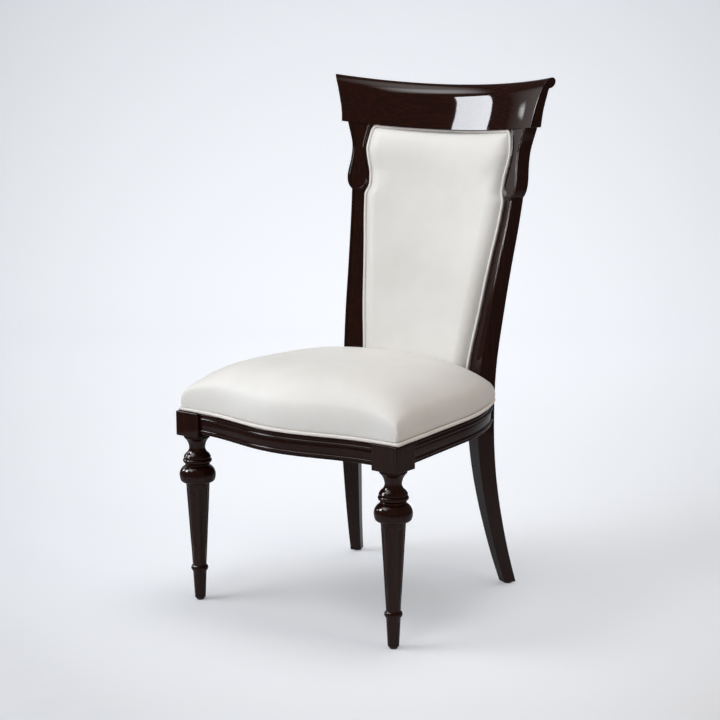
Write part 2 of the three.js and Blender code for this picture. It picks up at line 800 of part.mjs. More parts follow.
function backPad(grow) {
  const tall = crestBottomMiddle - backPadBottom;
  return backPanel({
    bottom: backPadBottom - grow,
    topGap: backPadGap,
    front: (across, share, height) => padFront(across, share, height) + grow,
    back: () => backBoardThick / 2 + backPadClear - grow,
    edge: (forward, height, share) => {
      const round = Math.max(1 - (1 - share) * tall / backCornerRadius, 0);
      const inset = backCornerRadius * (1 - Math.sqrt(1 - round * round));
      return backEdge(forward, height, backPadGap + inset - grow);
    },
    columns: backColumns,
    rows: backRowShares,
  });
}

function outsideBack() {
  const swell = (across, share) => (1 - across ** 4) * (1 - (2 * share - 1) ** 8);
  return backPanel({
    bottom: seatTop + fitGap,
    topGap: -cutOver,
    front: () => -backBoardThick / 2 - backPadClear / 2,
    back: (across, share, height) => (
      -postAt(height).deep / 2 + coveDepth - coveDepth * 0.8 * swell(across, share)
    ),
    edge: (forward, height) => backEdge(forward, height, 3 * fitGap),
    columns: backColumns / 2,
    rows: backRowShares,
  });
}

// A cord of leather piping through points; facing gives the way that each point's surface looks
function piping(points, facing, radius) {
  const last = points.length - 1;
  const rings = points.map((point, i) => {
    const run = points[Math.min(i + 1, last)].clone().sub(points[Math.max(i - 1, 0)]).normalize();
    const across = new THREE.Vector3().crossVectors(run, facing[i]).normalize();
    const up = new THREE.Vector3().crossVectors(across, run);
    return shares(6).slice(1).map((t) => {
      const angle = 2 * Math.PI * t;
      return point.clone()
        .addScaledVector(across, radius * Math.cos(angle))
        .addScaledVector(up, radius * Math.sin(angle));
    });
  });
  return solid(loft(rings));
}

function backPiping(grow) {
  const gap = backPipingRadius + backPipingGap;
  const round = backCornerRadius + gap;
  const depth = (height) => postAt(height).deep / 2 - backPipingRadius / 4;
  const top = backTop(1, gap);
  const straight = backRowShares.map((share) => backPadBottom + (top - backPadBottom) * share)
    .filter((height) => height < top - round - backPipingRadius)
    .map((height) => [height, gap]);
  const corner = shares(3).map((t) => {
    const angle = Math.PI / 2 * t;
    return [top - round * (1 - Math.sin(angle)), gap + round * (1 - Math.cos(angle))];
  });
  const side = [...straight, ...corner]
    .map(([height, inset]) => backPoint(backEdge(depth(height), height, inset), depth(height), height));
  const over = shares(9).slice(1, -1).map((t) => {
    const across = 1 - 2 * t;
    const height = backTop(across, gap);
    return backPoint(across * backEdge(depth(height), height, gap), depth(height), height);
  });
  const points = [...side, ...over, ...side.map((point) => point.clone().setX(-point.x)).reverse()];
  const facing = points.map((point) => new THREE.Vector3(-point.x, crestCentreY - point.y, 0).normalize());
  return piping(points, facing, backPipingRadius + grow);
}

function seatPiping(cutters) {
  const inset = seatPipingRadius + fitGap;
  const height = seatTop + inset;
  const right = seatEdge(inset).map((point) => new THREE.Vector3(point.x, point.y, height));
  const left = right.slice(1).map((point) => point.clone().setX(-point.x)).reverse();
  const points = [...left, ...right];
  let cord = piping(points, points.map(() => new THREE.Vector3(0, 0, 1)), seatPipingRadius);
  cutters.forEach((cutter) => {
    cord = cord.subtract(cutter);
  });
  return cord;
}

// Seat cushion: an upright wall, a rounded shoulder and a crowned top drawn to one peak
function cushionSolid() {
  const pipingTop = 2 * (seatPipingRadius + fitGap);
  const inside = pipingTop + fitGap;
  const plans = (inset) => seatOutline(inset, postDeep / 2 - backPipingRadius);
  const outer = plans(inside / 2);
  const peak = new THREE.Vector2(0, cushionPeakReach);
  const ringOf = (plan, height) => plan.map((p) => new THREE.Vector3(p.x, p.y, height));
  const base = seatTop + fitGap;
  const rings = [
    ringOf(plans(inside), base),
    ringOf(plans(inside), seatTop + pipingTop),
    ringOf(outer, seatTop + pipingTop + fitGap),
  ];
  const topShares = [0, 0.008, 0.022, 0.045, 0.09, 0.17, 0.29, 0.44, 0.62, 0.8];
  const wallLow = pipingTop + 2 * fitGap;
  topShares.forEach((share) => {
    rings.push(outer.map((point) => {
      const reach = point.distanceTo(peak) * share * 0.75;
      const drop = 1 - Math.min(reach / cushionRound, 1);
      const wall = wallLow + (cushionWall - wallLow) * Math.sqrt(Math.max(1 - drop * drop, 0.12));
      const dome = cushionCrown * (1 - (1 - share) ** 3.32) ** 0.94;
      const plan = point.clone().lerp(peak, share);
      return new THREE.Vector3(plan.x, plan.y, seatTop + wall + dome);
    }));
  });
  const top = new THREE.Vector3(peak.x, peak.y, seatTop + cushionWall + cushionCrown);
  return solid(loft(rings, new THREE.Vector3(peak.x, peak.y, base), top));
}

function seatBoard(grow) {
  const outline = seatOutline(seatBoardInset - grow, backBoardThick - grow);
  return prism(outline, seatTop + fitGap - grow, seatBoardThick + 2 * grow);
}

function dustCover() {
  const outline = seatOutline(dustCoverInset, dustCoverInset - backRailThick / 2);
  return prism(outline, railBottom - fitGap - dustCoverThick, dustCoverThick);
}

// Corner blocks: glued into the corners of the seat frame, screwed to the legs and the seat board.
// Each plan starts and ends with the ends of the block's long inner face.
const cornerLow = seatTop - (railHeight + blockTall) / 2;

function frontCornerPlan(side) {
  const inX = railEndX - fitGap;
  const backY = blockHalf + fitGap;
  const railY = railFaceY + railThick / 2;
  const railX = sideFaceX - railThick / 2;
  return [
    [inX - cornerReach, railY], [inX, railY], [inX, backY], [railX, backY],
    [railX, backY + cornerReach * 0.75],
  ].map(([x, y]) => new THREE.Vector2(side * x, y));
}

function rearCornerPlan(side) {
  const inner = postPoint(1, seatTop, cutOver - postWide / 2, 0);
  const outer = postPoint(1, seatTop, postWide / 2 - cutOver, 0);
  const back = backPoint(backEdge(0, seatTop, cornerReach * 0.9), backRailThick / 4, seatTop);
  const inRail = [0.6, 1.4].map((share) => {
    const rail = sidePlace(1, sideRun - cornerReach * share);
    return [rail.x - rail.outX * railThick / 2, rail.y - rail.outY * railThick / 2];
  });
  return [[back.x, back.y], [inner.x, inner.y], [outer.x, outer.y], ...inRail]
    .map(([x, y]) => new THREE.Vector2(side * x, y));
}

// Screws: a countersunk head, a shank and a point. Grown, it is the hole, open past the head.
function screw({ head, tip }, grow) {
  const length = head.distanceTo(tip);
  const sink = (screwHeadRadius - screwRadius) / length;
  return rodBetween(head, tip, [
    [screwHeadRadius + grow, grow > 0 ? -cutOver / length : 0], [screwHeadRadius + grow, 0],
    [screwRadius + grow, sink], [screwRadius + grow, 0.9], [grow + screwRadius / 4, 1 + grow / length],
  ].slice(grow > 0 ? 0 : 1), 8);
}

// A screw from the middle of a corner block's long face, square to it, into the leg
function legScrewLine(plan, aim) {
  const ends = [plan[0], plan[plan.length - 1]];
  const [from, to] = ends.map((p) => new THREE.Vector3(p.x, p.y, railMiddle));
  const tip = aim.clone().setZ(railMiddle);
  const head = new THREE.Line3(from, to).closestPointToPoint(tip, true, new THREE.Vector3());
  return { head: head.lerp(tip, fitGap / head.distanceTo(tip)), tip };
}

// A screw from under a corner block up into the seat board
function seatScrewLine(place) {
  const head = place.clone().setZ(cornerLow + fitGap);
  return { head, tip: head.clone().setZ(head.z + seatScrewLength) };
}

function cornerBlocks(side) {
  const rear = postPoint(side, railMiddle, postWide / 2 - cutOver / 2, postDeep / 2 + seatScrewInset * 0.8);
  const front = new THREE.Vector3(side * (railEndX - cornerReach / 3), seatScrewInset, 0);
  const frontAim = new THREE.Vector3(side * (legX - blockHalf / 3), blockHalf / 4, 0);
  const rearAim = postPoint(side, railMiddle, 0, postDeep / 4);
  return [["front", frontCornerPlan(side), frontAim, front], ["rear", rearCornerPlan(side), rearAim, rear]]
    .map(([end, plan, aim, spot]) => ({
      end, plan, legScrew: legScrewLine(plan, aim), seatScrew: seatScrewLine(spot),
    }));
}

// Dowels from the head of each post into the crest
function dowelLine(side, out) {
  const middle = postPoint(side, postTop, out, 0);
  const rise = postPoint(side, postTop, out, 0).sub(postPoint(side, postTop - pearLength, out, 0)).normalize();
  middle.addScaledVector(rise, (crestLowOver(middle) - middle.z) / rise.z);
  return {
    from: middle.clone().addScaledVector(rise, -dowelLength / 2),
    to: middle.clone().addScaledVector(rise, dowelLength / 2),
  };
}

function dowel({ from, to }, grow) {
  const reach = grow / dowelLength;
  const radius = dowelRadius + grow;
  return rodBetween(from, to, [[radius, -reach], [radius, 1 + reach]], 10);
}

// Assembly
const sides = [["left", 1], ["right", -1]];
const legBlanks = sides.map(([, side]) => postBlank(side, railBottom - cutOver, postTop, fitGap, false));
const trim = aboveCrest(fitGap);
const dowelLines = sides.map(([, side]) => [1, -1].map((way) => dowelLine(side, dowelShift + way * dowelSpacing / 2)));
let crest = crestSolid();
dowelLines.flat().forEach((line) => {
  crest = crest.subtract(dowel(line, fitGap));
});
addPiece("crest_rail", crest, "lacquer");

let seatBase = seatBoard(0);
legBlanks.forEach((blank) => {
  seatBase = seatBase.subtract(blank);
});

sides.forEach(([label, side], index) => {
  const corners = cornerBlocks(side);
  const [frontHole, rearHole] = corners.map(({ legScrew }) => screw(legScrew, fitGap));
  const dowelHoles = dowelLines[index].map((line) => dowel(line, fitGap));
  addPiece(`front_leg_${label}`, frontLeg(side, [
    frontTenon(side, fitGap), sideTenon(side, fitGap), frontHole,
  ]), "lacquer");
  addPiece(`rear_leg_${label}`, rearLeg(side, [
    trim, backRail(fitGap), backBoard(fitGap), lapTenon(side, fitGap), rearHole, ...dowelHoles,
  ]), "lacquer");
  dowelLines[index].forEach((line, i) => {
    addPiece(`crest_dowel_${label}_${["outer", "inner"][i]}`, dowel(line, 0), "timber");
  });
  const sideBody = sideRail(side, 0).subtract(legBlanks[index]).subtract(behindLeg(side));
  addPiece(`side_rail_${label}`, sideBody.add(sideTenon(side, 0)).add(lapTenon(side, 0)), "lacquer");

  corners.forEach(({ end, plan, legScrew, seatScrew }) => {
    const seatHole = screw(seatScrew, fitGap);
    let block = prism(plan, cornerLow, blockTall);
    [sideRail(side, fitGap), railSolid(frontStations(0), fitGap, railThick), backRail(fitGap),
      legBlanks[index], screw(legScrew, fitGap), seatHole].forEach((cutter) => {
      block = block.subtract(cutter);
    });
    seatBase = seatBase.subtract(seatHole);
    addPiece(`corner_block_${end}_${label}`, block, "timber");
    addPiece(`leg_screw_${end}_${label}`, screw(legScrew, 0), "steel");
    addPiece(`seat_screw_${end}_${label}`, screw(seatScrew, 0), "steel");
  });
  addPiece(`glide_front_${label}`, glide(new THREE.Vector3(side * legX, 0, 0)), "nylon");
  addPiece(`glide_rear_${label}`, glide(postPoint(side, 0, 0, 0)), "nylon");
});

let frontRail = railSolid(frontStations(fitGap), 0, railThick);
sides.forEach(([, side]) => {
  frontRail = frontRail.add(frontTenon(side, 0));
});
addPiece("front_rail", frontRail, "lacquer");
addPiece("back_seat_rail", backRail(0), "lacquer");
addPiece("seat_board", seatBase, "plywood");

let cushion = cushionSolid();
[seatBoard(fitGap), backPad(fitGap), backPiping(fitGap), ...legBlanks].forEach((cutter) => {
  cushion = cushion.subtract(cutter);
});
addPiece("seat_cushion", cushion, "leather");
addPiece("seat_piping", seatPiping([...legBlanks, ...sides.map(([, side]) => behindLeg(side))]), "leather");
addPiece("back_board", backBoard(0).subtract(trim), "plywood");
addPiece("back_pad", backPad(0), "leather");
addPiece("back_piping", backPiping(0), "leather");
addPiece("outside_back", outsideBack().subtract(trim), "leather");

let cover = dustCover();
sides.forEach(([, side]) => {
  const reach = blockHalf + fitGap + cutOver / 4;
  cover = cover.subtract(boxBetween(
    new THREE.Vector3(side * legX - reach, -reach, blockBottom),
    new THREE.Vector3(side * legX + reach, reach, seatTop),
  ));
});
legBlanks.forEach((blank) => {
  cover = cover.subtract(blank);
});
addPiece("dust_cover", cover, "cambric");

export default chair;
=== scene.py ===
# %% [markdown]
# # A dining side chair in the klismos manner
# The real chair is dark lacquered hardwood with a pearl leather seat and back. Its front legs are turned and
# fluted, its rear legs are sawn to a sabre curve, and its crest rail is concave, flared and rolled over.
# The solids of every piece are already packed. This script dresses them: each visible piece gets a fine
# surface from its own formula, and each finish gets its own procedural material.

import json
import math

import bmesh
import bpy
import numpy as np
from mathutils import Matrix, Vector


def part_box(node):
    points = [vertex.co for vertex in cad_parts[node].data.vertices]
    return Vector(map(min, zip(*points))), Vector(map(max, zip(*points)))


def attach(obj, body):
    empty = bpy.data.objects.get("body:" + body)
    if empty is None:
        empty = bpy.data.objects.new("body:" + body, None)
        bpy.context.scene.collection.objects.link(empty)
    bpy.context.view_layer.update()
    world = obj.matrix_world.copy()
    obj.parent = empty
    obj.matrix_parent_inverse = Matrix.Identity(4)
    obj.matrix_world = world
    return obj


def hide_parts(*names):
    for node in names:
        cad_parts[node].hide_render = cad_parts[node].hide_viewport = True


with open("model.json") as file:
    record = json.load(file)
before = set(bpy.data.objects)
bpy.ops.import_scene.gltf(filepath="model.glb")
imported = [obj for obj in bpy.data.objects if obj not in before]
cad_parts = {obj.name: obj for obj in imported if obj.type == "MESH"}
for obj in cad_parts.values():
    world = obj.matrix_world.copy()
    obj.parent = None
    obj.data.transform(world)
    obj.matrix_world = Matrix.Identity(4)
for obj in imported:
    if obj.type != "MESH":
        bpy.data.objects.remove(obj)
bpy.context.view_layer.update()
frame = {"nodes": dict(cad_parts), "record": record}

# %% [markdown]
# The formulas below work in millimetres, in the frame that a maker of the chair would use: X = 0 is the
# middle, Y = 0 is the line through both front legs, Z = 0 is the floor. The turned leg is round about its
# axis, so the middle of its box gives that axis, and with it the step from this frame to the model's.

# %% The chair's own frame
MM = 0.001
DEGREE = math.pi / 180
leg_low, leg_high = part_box("front_leg_left")
leg_x = (leg_low.x + leg_high.x) / 2 / MM
origin = np.array([0.0, (leg_low.y + leg_high.y) / 2 / MM, 0.0])
seat_top = leg_high.z / MM
rail_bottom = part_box("front_rail")[0].z / MM
rail_height = seat_top - rail_bottom
rail_middle = (seat_top + rail_bottom) / 2
# Room left between two pieces that meet
gap = 0.3
print("leg axis at", round(leg_x, 1), "seat frame's top at", round(seat_top, 1))

# %% [markdown]
# A piece's surface is a grid of points worked out as whole arrays. Two helpers turn such grids into
# closed skins: one closes rings round a path and caps both ends, flat or domed, and the other joins a front
# and a back sheet along all four edges. A third puts the skins of a piece into one mesh, in metres, with
# faces outwards.


# %% Grids into closed skins
def grid_quads(rows, columns, closed):
    """Quads of a grid: each joins a point, its neighbour in the row, and the two after them."""
    row = np.arange(rows - 1)[:, None]
    column = np.arange(columns if closed else columns - 1)[None, :]
    beside = (column + 1) % columns
    corners = [row * columns + column, row * columns + beside,
               (row + 1) * columns + beside, (row + 1) * columns + column]
    return np.stack(np.broadcast_arrays(*corners), axis=-1).reshape(-1, 4)


def skin(rings):
    """Closed skin over rings (rings, points, 3), with a flat cap on the first and the last ring."""
    rings = np.asarray(rings, float)
    count, size = rings.shape[:2]
    faces = grid_quads(count, size, True).tolist()
    caps = [list(range(size)), list(range((count - 1) * size, count * size))]
    return rings.reshape(-1, 3), faces + caps


def domed_skin(rings, first, last):
    """Closed skin over rings, whose ends are fans of triangles to one point each."""
    points, faces = skin(rings)
    count, size = rings.shape[:2]
    corner = np.arange(size)
    beside = (corner + 1) % size
    low = np.stack([np.full(size, count * size), corner, beside], axis=1)
    high = np.stack([np.full(size, count * size + 1), corner, beside], axis=1)
    high[:, 1:] += (count - 1) * size
    return np.vstack([points, first, last]), faces[:-2] + low.tolist() + high.tolist()


def sandwich(front, back):
    """Closed skin over two sheets of the same grid, joined edge to edge all round."""
    rows, columns = front.shape[:2]
    count = rows * columns
    quads = grid_quads(rows, columns, False)
    index = np.arange(count).reshape(rows, columns)
    rim = np.concatenate([index[0, :], index[1:, -1], index[-1, -2::-1], index[-2:0:-1, 0]])
    after = np.roll(rim, -1)
    walls = np.stack([rim, after, after + count, rim + count], axis=1)
    points = np.concatenate([front.reshape(-1, 3), back.reshape(-1, 3)])
    return points, quads.tolist() + (quads + count).tolist() + walls.tolist()


def add_piece(name, skins, finish, replaced=(), sharp=40):
    """One object from skins in millimetres. Edges that turn more than sharp degrees stay crisp."""
    points, faces, start = [], [], 0
    for skin_points, skin_faces in skins:
        points.append((np.asarray(skin_points) + origin) * MM)
        faces += [[i + start for i in face] for face in skin_faces]
        start += len(skin_points)
    mesh = bpy.data.meshes.new(name)
    mesh.from_pydata(np.concatenate(points), [], faces)
    work = bmesh.new()
    work.from_mesh(mesh)
    bmesh.ops.remove_doubles(work, verts=work.verts, dist=0.00001)
    bmesh.ops.dissolve_degenerate(work, edges=work.edges, dist=0.000005)
    bmesh.ops.recalc_face_normals(work, faces=work.faces)
    work.to_mesh(mesh)
    work.free()
    mesh.shade_smooth()
    mesh.set_sharp_from_angle(angle=math.radians(sharp))
    mesh.materials.append(finish)
    piece = bpy.data.objects.new(name, mesh)
    bpy.context.collection.objects.link(piece)
    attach(piece, "root")
    if replaced:
        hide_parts(*replaced)
    print(name, len(mesh.polygons), "faces")
    return piece


print("8 points carried over 3 rings make", len(grid_quads(3, 8, True)), "quads")


# %% [markdown]
# Outlines come in two kinds. A smooth one passes through a few points as a cubic spline, as a bent batten
# does. A turned or moulded one is made of lines and arcs, as a turner's template is: each row is a point
# and the bulge of the arc to the next, where the bulge is the tangent of a quarter of the arc's turn.


# %% Splines and arcs
def spline(at, values, where):
    """Cubic spline through values (n, k) given at rising places; its ends are free of bending."""
    at, values = np.asarray(at, float), np.asarray(values, float)
    flat = values.reshape(len(at), -1)
    step = np.diff(at)
    matrix = np.eye(len(at))
    right = np.zeros_like(flat)
    inner = np.arange(1, len(at) - 1)
    matrix[inner, inner - 1] = step[:-1]
    matrix[inner, inner] = 2 * (step[:-1] + step[1:])
    matrix[inner, inner + 1] = step[1:]
    slope = np.diff(flat, axis=0) / step[:, None]
    right[1:-1] = 6 * np.diff(slope, axis=0)
    bend = np.linalg.solve(matrix, right)
    where = np.asarray(where, float)
    i = np.clip(np.searchsorted(at, where.ravel(), side="right") - 1, 0, len(step) - 1)
    h = step[i][:, None]
    b = (where.ravel()[:, None] - at[i][:, None]) / h
    a = 1 - b
    curve = a * flat[i] + b * flat[i + 1]
    curve += ((a ** 3 - a) * bend[i] + (b ** 3 - b) * bend[i + 1]) * h * h / 6
    return curve.reshape(where.shape + values.shape[1:])


def unit(vectors):
    """The same vectors, each one unit long."""
    return vectors / np.linalg.norm(vectors, axis=-1, keepdims=True)


def reach_along(path):
    """Distance along a path up to each of its points."""
    return np.concatenate([[0], np.cumsum(np.linalg.norm(np.diff(path, axis=0), axis=1))])


def curve_through(points, count):
    """Smooth curve through points, cut into count steps that are even along their chords."""
    reach = reach_along(points)
    return spline(reach, points, np.linspace(0, reach[-1], count))


def lines_and_arcs(rows, step=2.0, fine=9 * DEGREE):
    """Outline from rows of (out, up, bulge). Going up, an arc with a positive bulge swells outwards."""
    parts = []
    for (x0, y0, bulge), (x1, y1, _) in zip(rows, rows[1:]):
        chord = math.hypot(x1 - x0, y1 - y0)
        turn = 4 * math.atan(bulge)
        count = max(int(chord / step) if bulge == 0 else int(abs(turn) / fine) + 1, 1)
        t = np.arange(count) / count
        middle = np.array([(x0 + x1) / 2, (y0 + y1) / 2])
        along = np.array([x1 - x0, y1 - y0]) / chord
        out = np.array([along[1], -along[0]])
        if bulge == 0:
            reach, rise = (t - 0.5) * chord, 0 * t
        else:
            radius = chord / 2 / math.sin(turn / 2)
            reach = radius * np.sin((t - 0.5) * turn)
            rise = radius * (np.cos((t - 0.5) * turn) - math.cos(turn / 2))
        parts.append(middle + reach[:, None] * along + rise[:, None] * out)
    parts.append(np.array([rows[-1][:2]]))
    return np.concatenate(parts)


def eased_corner(x, y, radius, start, turn=90, steps=4, lead=0.6):
    """Arc of a rounded corner about (x, y), which may be arrays (rows, 1), from a start angle in degrees,
    with a short straight lead on each side so that the flats beside it stay flat."""
    angle = (start + turn * np.arange(steps + 1) / steps) * DEGREE
    arc_x = x + radius * np.cos(angle)
    arc_y = y + radius * np.sin(angle)
    way = math.copysign(lead, turn)
    ends = [(arc_x[..., :1] + way * math.sin(angle[0]), arc_y[..., :1] - way * math.cos(angle[0])),
            (arc_x[..., -1:] - way * math.sin(angle[-1]), arc_y[..., -1:] + way * math.cos(angle[-1]))]
    return (np.concatenate([ends[0][0], arc_x, ends[1][0]], axis=-1),
            np.concatenate([ends[0][1], arc_y, ends[1][1]], axis=-1))


def eased_rectangle(low, high, radius):
    """Ring (points, 2) of a rectangle between two corners, with each of its corners rounded."""
    (x0, y0), (x1, y1) = np.add(low, radius), np.subtract(high, radius)
    corners = [eased_corner(x, y, radius, start)
               for x, y, start in ((x1, y1, 0), (x0, y1, 90), (x0, y0, 180), (x1, y0, 270))]
    return np.concatenate([np.stack(corner, axis=-1) for corner in corners])


def smooth_step(value, low, high):
    """0 below low, 1 above high, and a soft S between them."""
    t = np.clip((value - low) / (high - low), 0, 1)
    return t * t * (3 - 2 * t)


print("a spline through 0, 1, 0 is half way up at", round(float(spline([0, 1, 2], [0, 1, 0], 0.5)), 3))


# %% [markdown]
# ## Finishes
# One function turns the hex colours that a designer writes to Blender's linear values, and one adds a
# node with its settings and links. Every material below is built from those two. Blender counts a pattern's
# cells along a metre, so each scale is worked out from the size of one cell in millimetres.


# %% Colours and nodes
def colour(text):
    """Linear colour from an sRGB hex value: each channel is undone from the screen's curve."""
    value = np.array([int(text[i:i + 2], 16) for i in (1, 3, 5)]) / 255
    linear = np.where(value <= 0.04045, value / 12.92, ((value + 0.055) / 1.055) ** 2.4)
    return (*linear, 1.0)


def to_the_metre(size):
    """How many cells of a size in millimetres lie along a metre; the size may be three, one for each axis."""
    return 1 / (np.asarray(size) * MM)


def set_inputs(node, **inputs):
    """Sets each input to a value, or links it to a socket. An input goes by its name, or i and its number."""
    for key, value in inputs.items():
        name = key.replace("_", " ")
        socket = node.inputs[int(name[1:])] if name[1:].isdigit() else node.inputs[name]
        if isinstance(value, bpy.types.NodeSocket):
            node.id_data.links.new(value, socket)
        else:
            socket.default_value = value


def add_node(tree, kind, settings=None, stops=(), **inputs):
    """Adds a node of a kind with its properties and inputs, and a ramp's (place, hex colour) stops."""
    node = tree.nodes.new(kind)
    for key, value in (settings or {}).items():
        setattr(node, key, value)
    if stops:
        elements = node.color_ramp.elements
        for element, (place, text) in zip(list(elements), (stops[0], stops[-1])):
            element.position, element.color = place, colour(text)
        for place, text in stops[1:-1]:
            elements.new(place).color = colour(text)
    set_inputs(node, **inputs)
    return node


def new_material(name):
    """A node material, its tree and its Principled shader."""
    material = bpy.data.materials.new(name)
    material.use_nodes = True
    return material, material.node_tree, material.node_tree.nodes["Principled BSDF"]


print("mid grey #808080 is", round(float(colour("#808080")[0]), 3), "of white in linear light")

# %% [markdown]
# **Lacquered hardwood.** Beech stained espresso, under a rubbed and polished high-gloss lacquer. The stain
# leaves a faint darker and redder streak along the grain, about 3 mm wide and 110 mm long. The lacquer is a
# clear coat with an index near 1.5: smooth, with a very slight orange peel of about 4 mm that softens
# reflections. The stain below gives only colour, because a gleam of its own would grey it.

# %% Espresso lacquer
streak_wide, streak_long, peel_size, peel_depth = 3.03, 111, 4.167, 0.02


def lacquer(name, grain):
    """Stained wood under a clear coat; grain gives the streak's size along X, Y and Z."""
    material, tree, shader = new_material(name)
    place = add_node(tree, "ShaderNodeTexCoord").outputs["Object"]
    turned = add_node(tree, "ShaderNodeMapping", Vector=place, Scale=to_the_metre(grain)).outputs["Vector"]
    streak = add_node(tree, "ShaderNodeTexNoise", Vector=turned, Scale=1.0, Detail=5.0, Roughness=0.6)
    stain = add_node(tree, "ShaderNodeValToRGB", i0=streak.outputs["Fac"],
                     stops=[(0.3, "#180a06"), (0.55, "#230e08"), (0.8, "#34180e")])
    peel = add_node(tree, "ShaderNodeTexNoise", Vector=place, Scale=to_the_metre(peel_size), Detail=1.0)
    bump = add_node(tree, "ShaderNodeBump", Strength=0.35, Distance=peel_depth * MM,
                    Height=peel.outputs["Fac"])
    set_inputs(shader, Base_Color=stain.outputs["Color"], Roughness=0.4, Specular_IOR_Level=0.0,
               Normal=bump.outputs["Normal"], Coat_Normal=bump.outputs["Normal"],
               Coat_Weight=0.35, Coat_Roughness=0.035, Coat_IOR=1.5)
    return material


upright_lacquer = lacquer("espresso_lacquer_upright", (streak_wide, streak_wide, streak_long))
lengthwise_lacquer = lacquer("espresso_lacquer_across", (streak_long, streak_wide, streak_wide))
sideways_lacquer = lacquer("espresso_lacquer_fore_and_aft", (streak_wide, streak_long, streak_wide))
print("lacquers:", upright_lacquer.name, lengthwise_lacquer.name, sideways_lacquer.name)

# %% [markdown]
# **Pearl leather.** Corrected-grain upholstery leather, off-white with a satin finish. It is embossed with a
# fine pebble of about 1 mm cells and finer pores between them, drawn a little coarse so that it shows.
# Handling leaves broad, faint patches in its colour and gloss. The pebbles' valleys are painted a little
# darker, as shade.

# %% Pearl leather
patch_size, pebble_size, welt_pebble_size, pebble_depth = 111, 1.0526, 0.8333, 0.12
pores_to_pebble = 2.6


def leather(name, light, dark, pebble):
    """Satin leather between two close colours, with pebbles of a given size."""
    material, tree, shader = new_material(name)
    place = add_node(tree, "ShaderNodeTexCoord").outputs["Object"]
    patches = add_node(tree, "ShaderNodeTexNoise", Vector=place, Scale=to_the_metre(patch_size), Detail=4.0,
                       Roughness=0.55)
    tint = add_node(tree, "ShaderNodeValToRGB", i0=patches.outputs["Fac"], stops=[(0.3, dark), (0.7, light)])
    cells = add_node(tree, "ShaderNodeTexVoronoi", {"feature": "SMOOTH_F1"}, Vector=place,
                     Scale=to_the_metre(pebble))
    pores = add_node(tree, "ShaderNodeTexNoise", Vector=place, Scale=to_the_metre(pebble / pores_to_pebble),
                     Detail=3.0)
    # Painted shade: towards the pebbles' valleys the colour is mixed up to 13 % with the darker tone.
    valley_painted_shade = add_node(tree, "ShaderNodeMapRange", Value=cells.outputs["Distance"], From_Min=0.25,
                      From_Max=0.75, To_Min=0.0, To_Max=0.13)
    deep = add_node(tree, "ShaderNodeMix", {"data_type": "RGBA"}, i0=valley_painted_shade.outputs["Result"],
                    i6=tint.outputs["Color"], i7=colour(dark))
    height = add_node(tree, "ShaderNodeMath", {"operation": "MULTIPLY_ADD"}, i0=pores.outputs["Fac"],
                      i1=0.35, i2=cells.outputs["Distance"])
    turned = add_node(tree, "ShaderNodeMath", {"operation": "MULTIPLY"}, i0=height.outputs[0], i1=-1.0)
    bump = add_node(tree, "ShaderNodeBump", Strength=0.5, Distance=pebble_depth * MM,
                    Height=turned.outputs[0])
    gloss = add_node(tree, "ShaderNodeMapRange", Value=patches.outputs["Fac"], To_Min=0.48, To_Max=0.6)
    set_inputs(shader, Base_Color=deep.outputs[2], Normal=bump.outputs["Normal"],
               Roughness=gloss.outputs["Result"], Specular_IOR_Level=0.18,
               Sheen_Weight=0.08, Sheen_Roughness=0.4)
    return material


pearl_leather = leather("pearl_satin_leather", "#e0dfdc", "#d9d7d3", pebble_size)
welt_leather = leather("pearl_welt_leather", "#e8e3e0", "#ded8d4", welt_pebble_size)
print("leathers:", pearl_leather.name, welt_leather.name)

# %% [markdown]
# **Inner woods.** Corner blocks and dowels are bare sanded beech: pale, with short dark flecks. The seat and
# back boards are birch plywood, which shows its plies as bands on every edge. A wave texture of scale 1 is
# pi / 10 metres long, which gives the plies' scale.


# %% Bare beech and birch plywood
def bare_wood(name, light, dark, fleck, ply=None):
    """Sanded wood with flecks of a size along X, Y and Z; ply adds bands up the board's thickness."""
    material, tree, shader = new_material(name)
    place = add_node(tree, "ShaderNodeTexCoord").outputs["Object"]
    turned = add_node(tree, "ShaderNodeMapping", Vector=place, Scale=to_the_metre(fleck)).outputs["Vector"]
    grain = add_node(tree, "ShaderNodeTexNoise", Vector=turned, Scale=1.0, Detail=4.0, Roughness=0.7)
    tint = add_node(tree, "ShaderNodeValToRGB", i0=grain.outputs["Fac"],
                    stops=[(0.35, dark), (0.65, light)]).outputs["Color"]
    if ply:
        bands = add_node(tree, "ShaderNodeTexWave", {"bands_direction": "Z"}, Vector=place,
                         Scale=math.pi / 10 * to_the_metre(ply), Distortion=0.4)
        tint = add_node(tree, "ShaderNodeMix", {"data_type": "RGBA", "blend_type": "MULTIPLY"},
                        i0=0.35, i6=tint, i7=bands.outputs["Color"]).outputs[2]
    bump = add_node(tree, "ShaderNodeBump", Strength=0.4, Distance=0.1 * MM, Height=grain.outputs["Fac"])
    set_inputs(shader, Base_Color=tint, Normal=bump.outputs["Normal"], Roughness=0.62)
    return material


bare_beech = bare_wood("sanded_beech", "#d0a77c", "#a77c52", (16.7, 16.7, 2))
birch_ply = bare_wood("birch_plywood", "#d8b98c", "#bd9968", (2, 25, 2), 2.856)
print("inner woods:", bare_beech.name, birch_ply.name)

# %% [markdown]
# **Small parts.** Screws are zinc-plated steel with a fine grain from plating. Glides are nylon, moulded,
# with a slight haze. The dust cover is black non-woven cloth, a felt of fibres about half a millimetre apart.


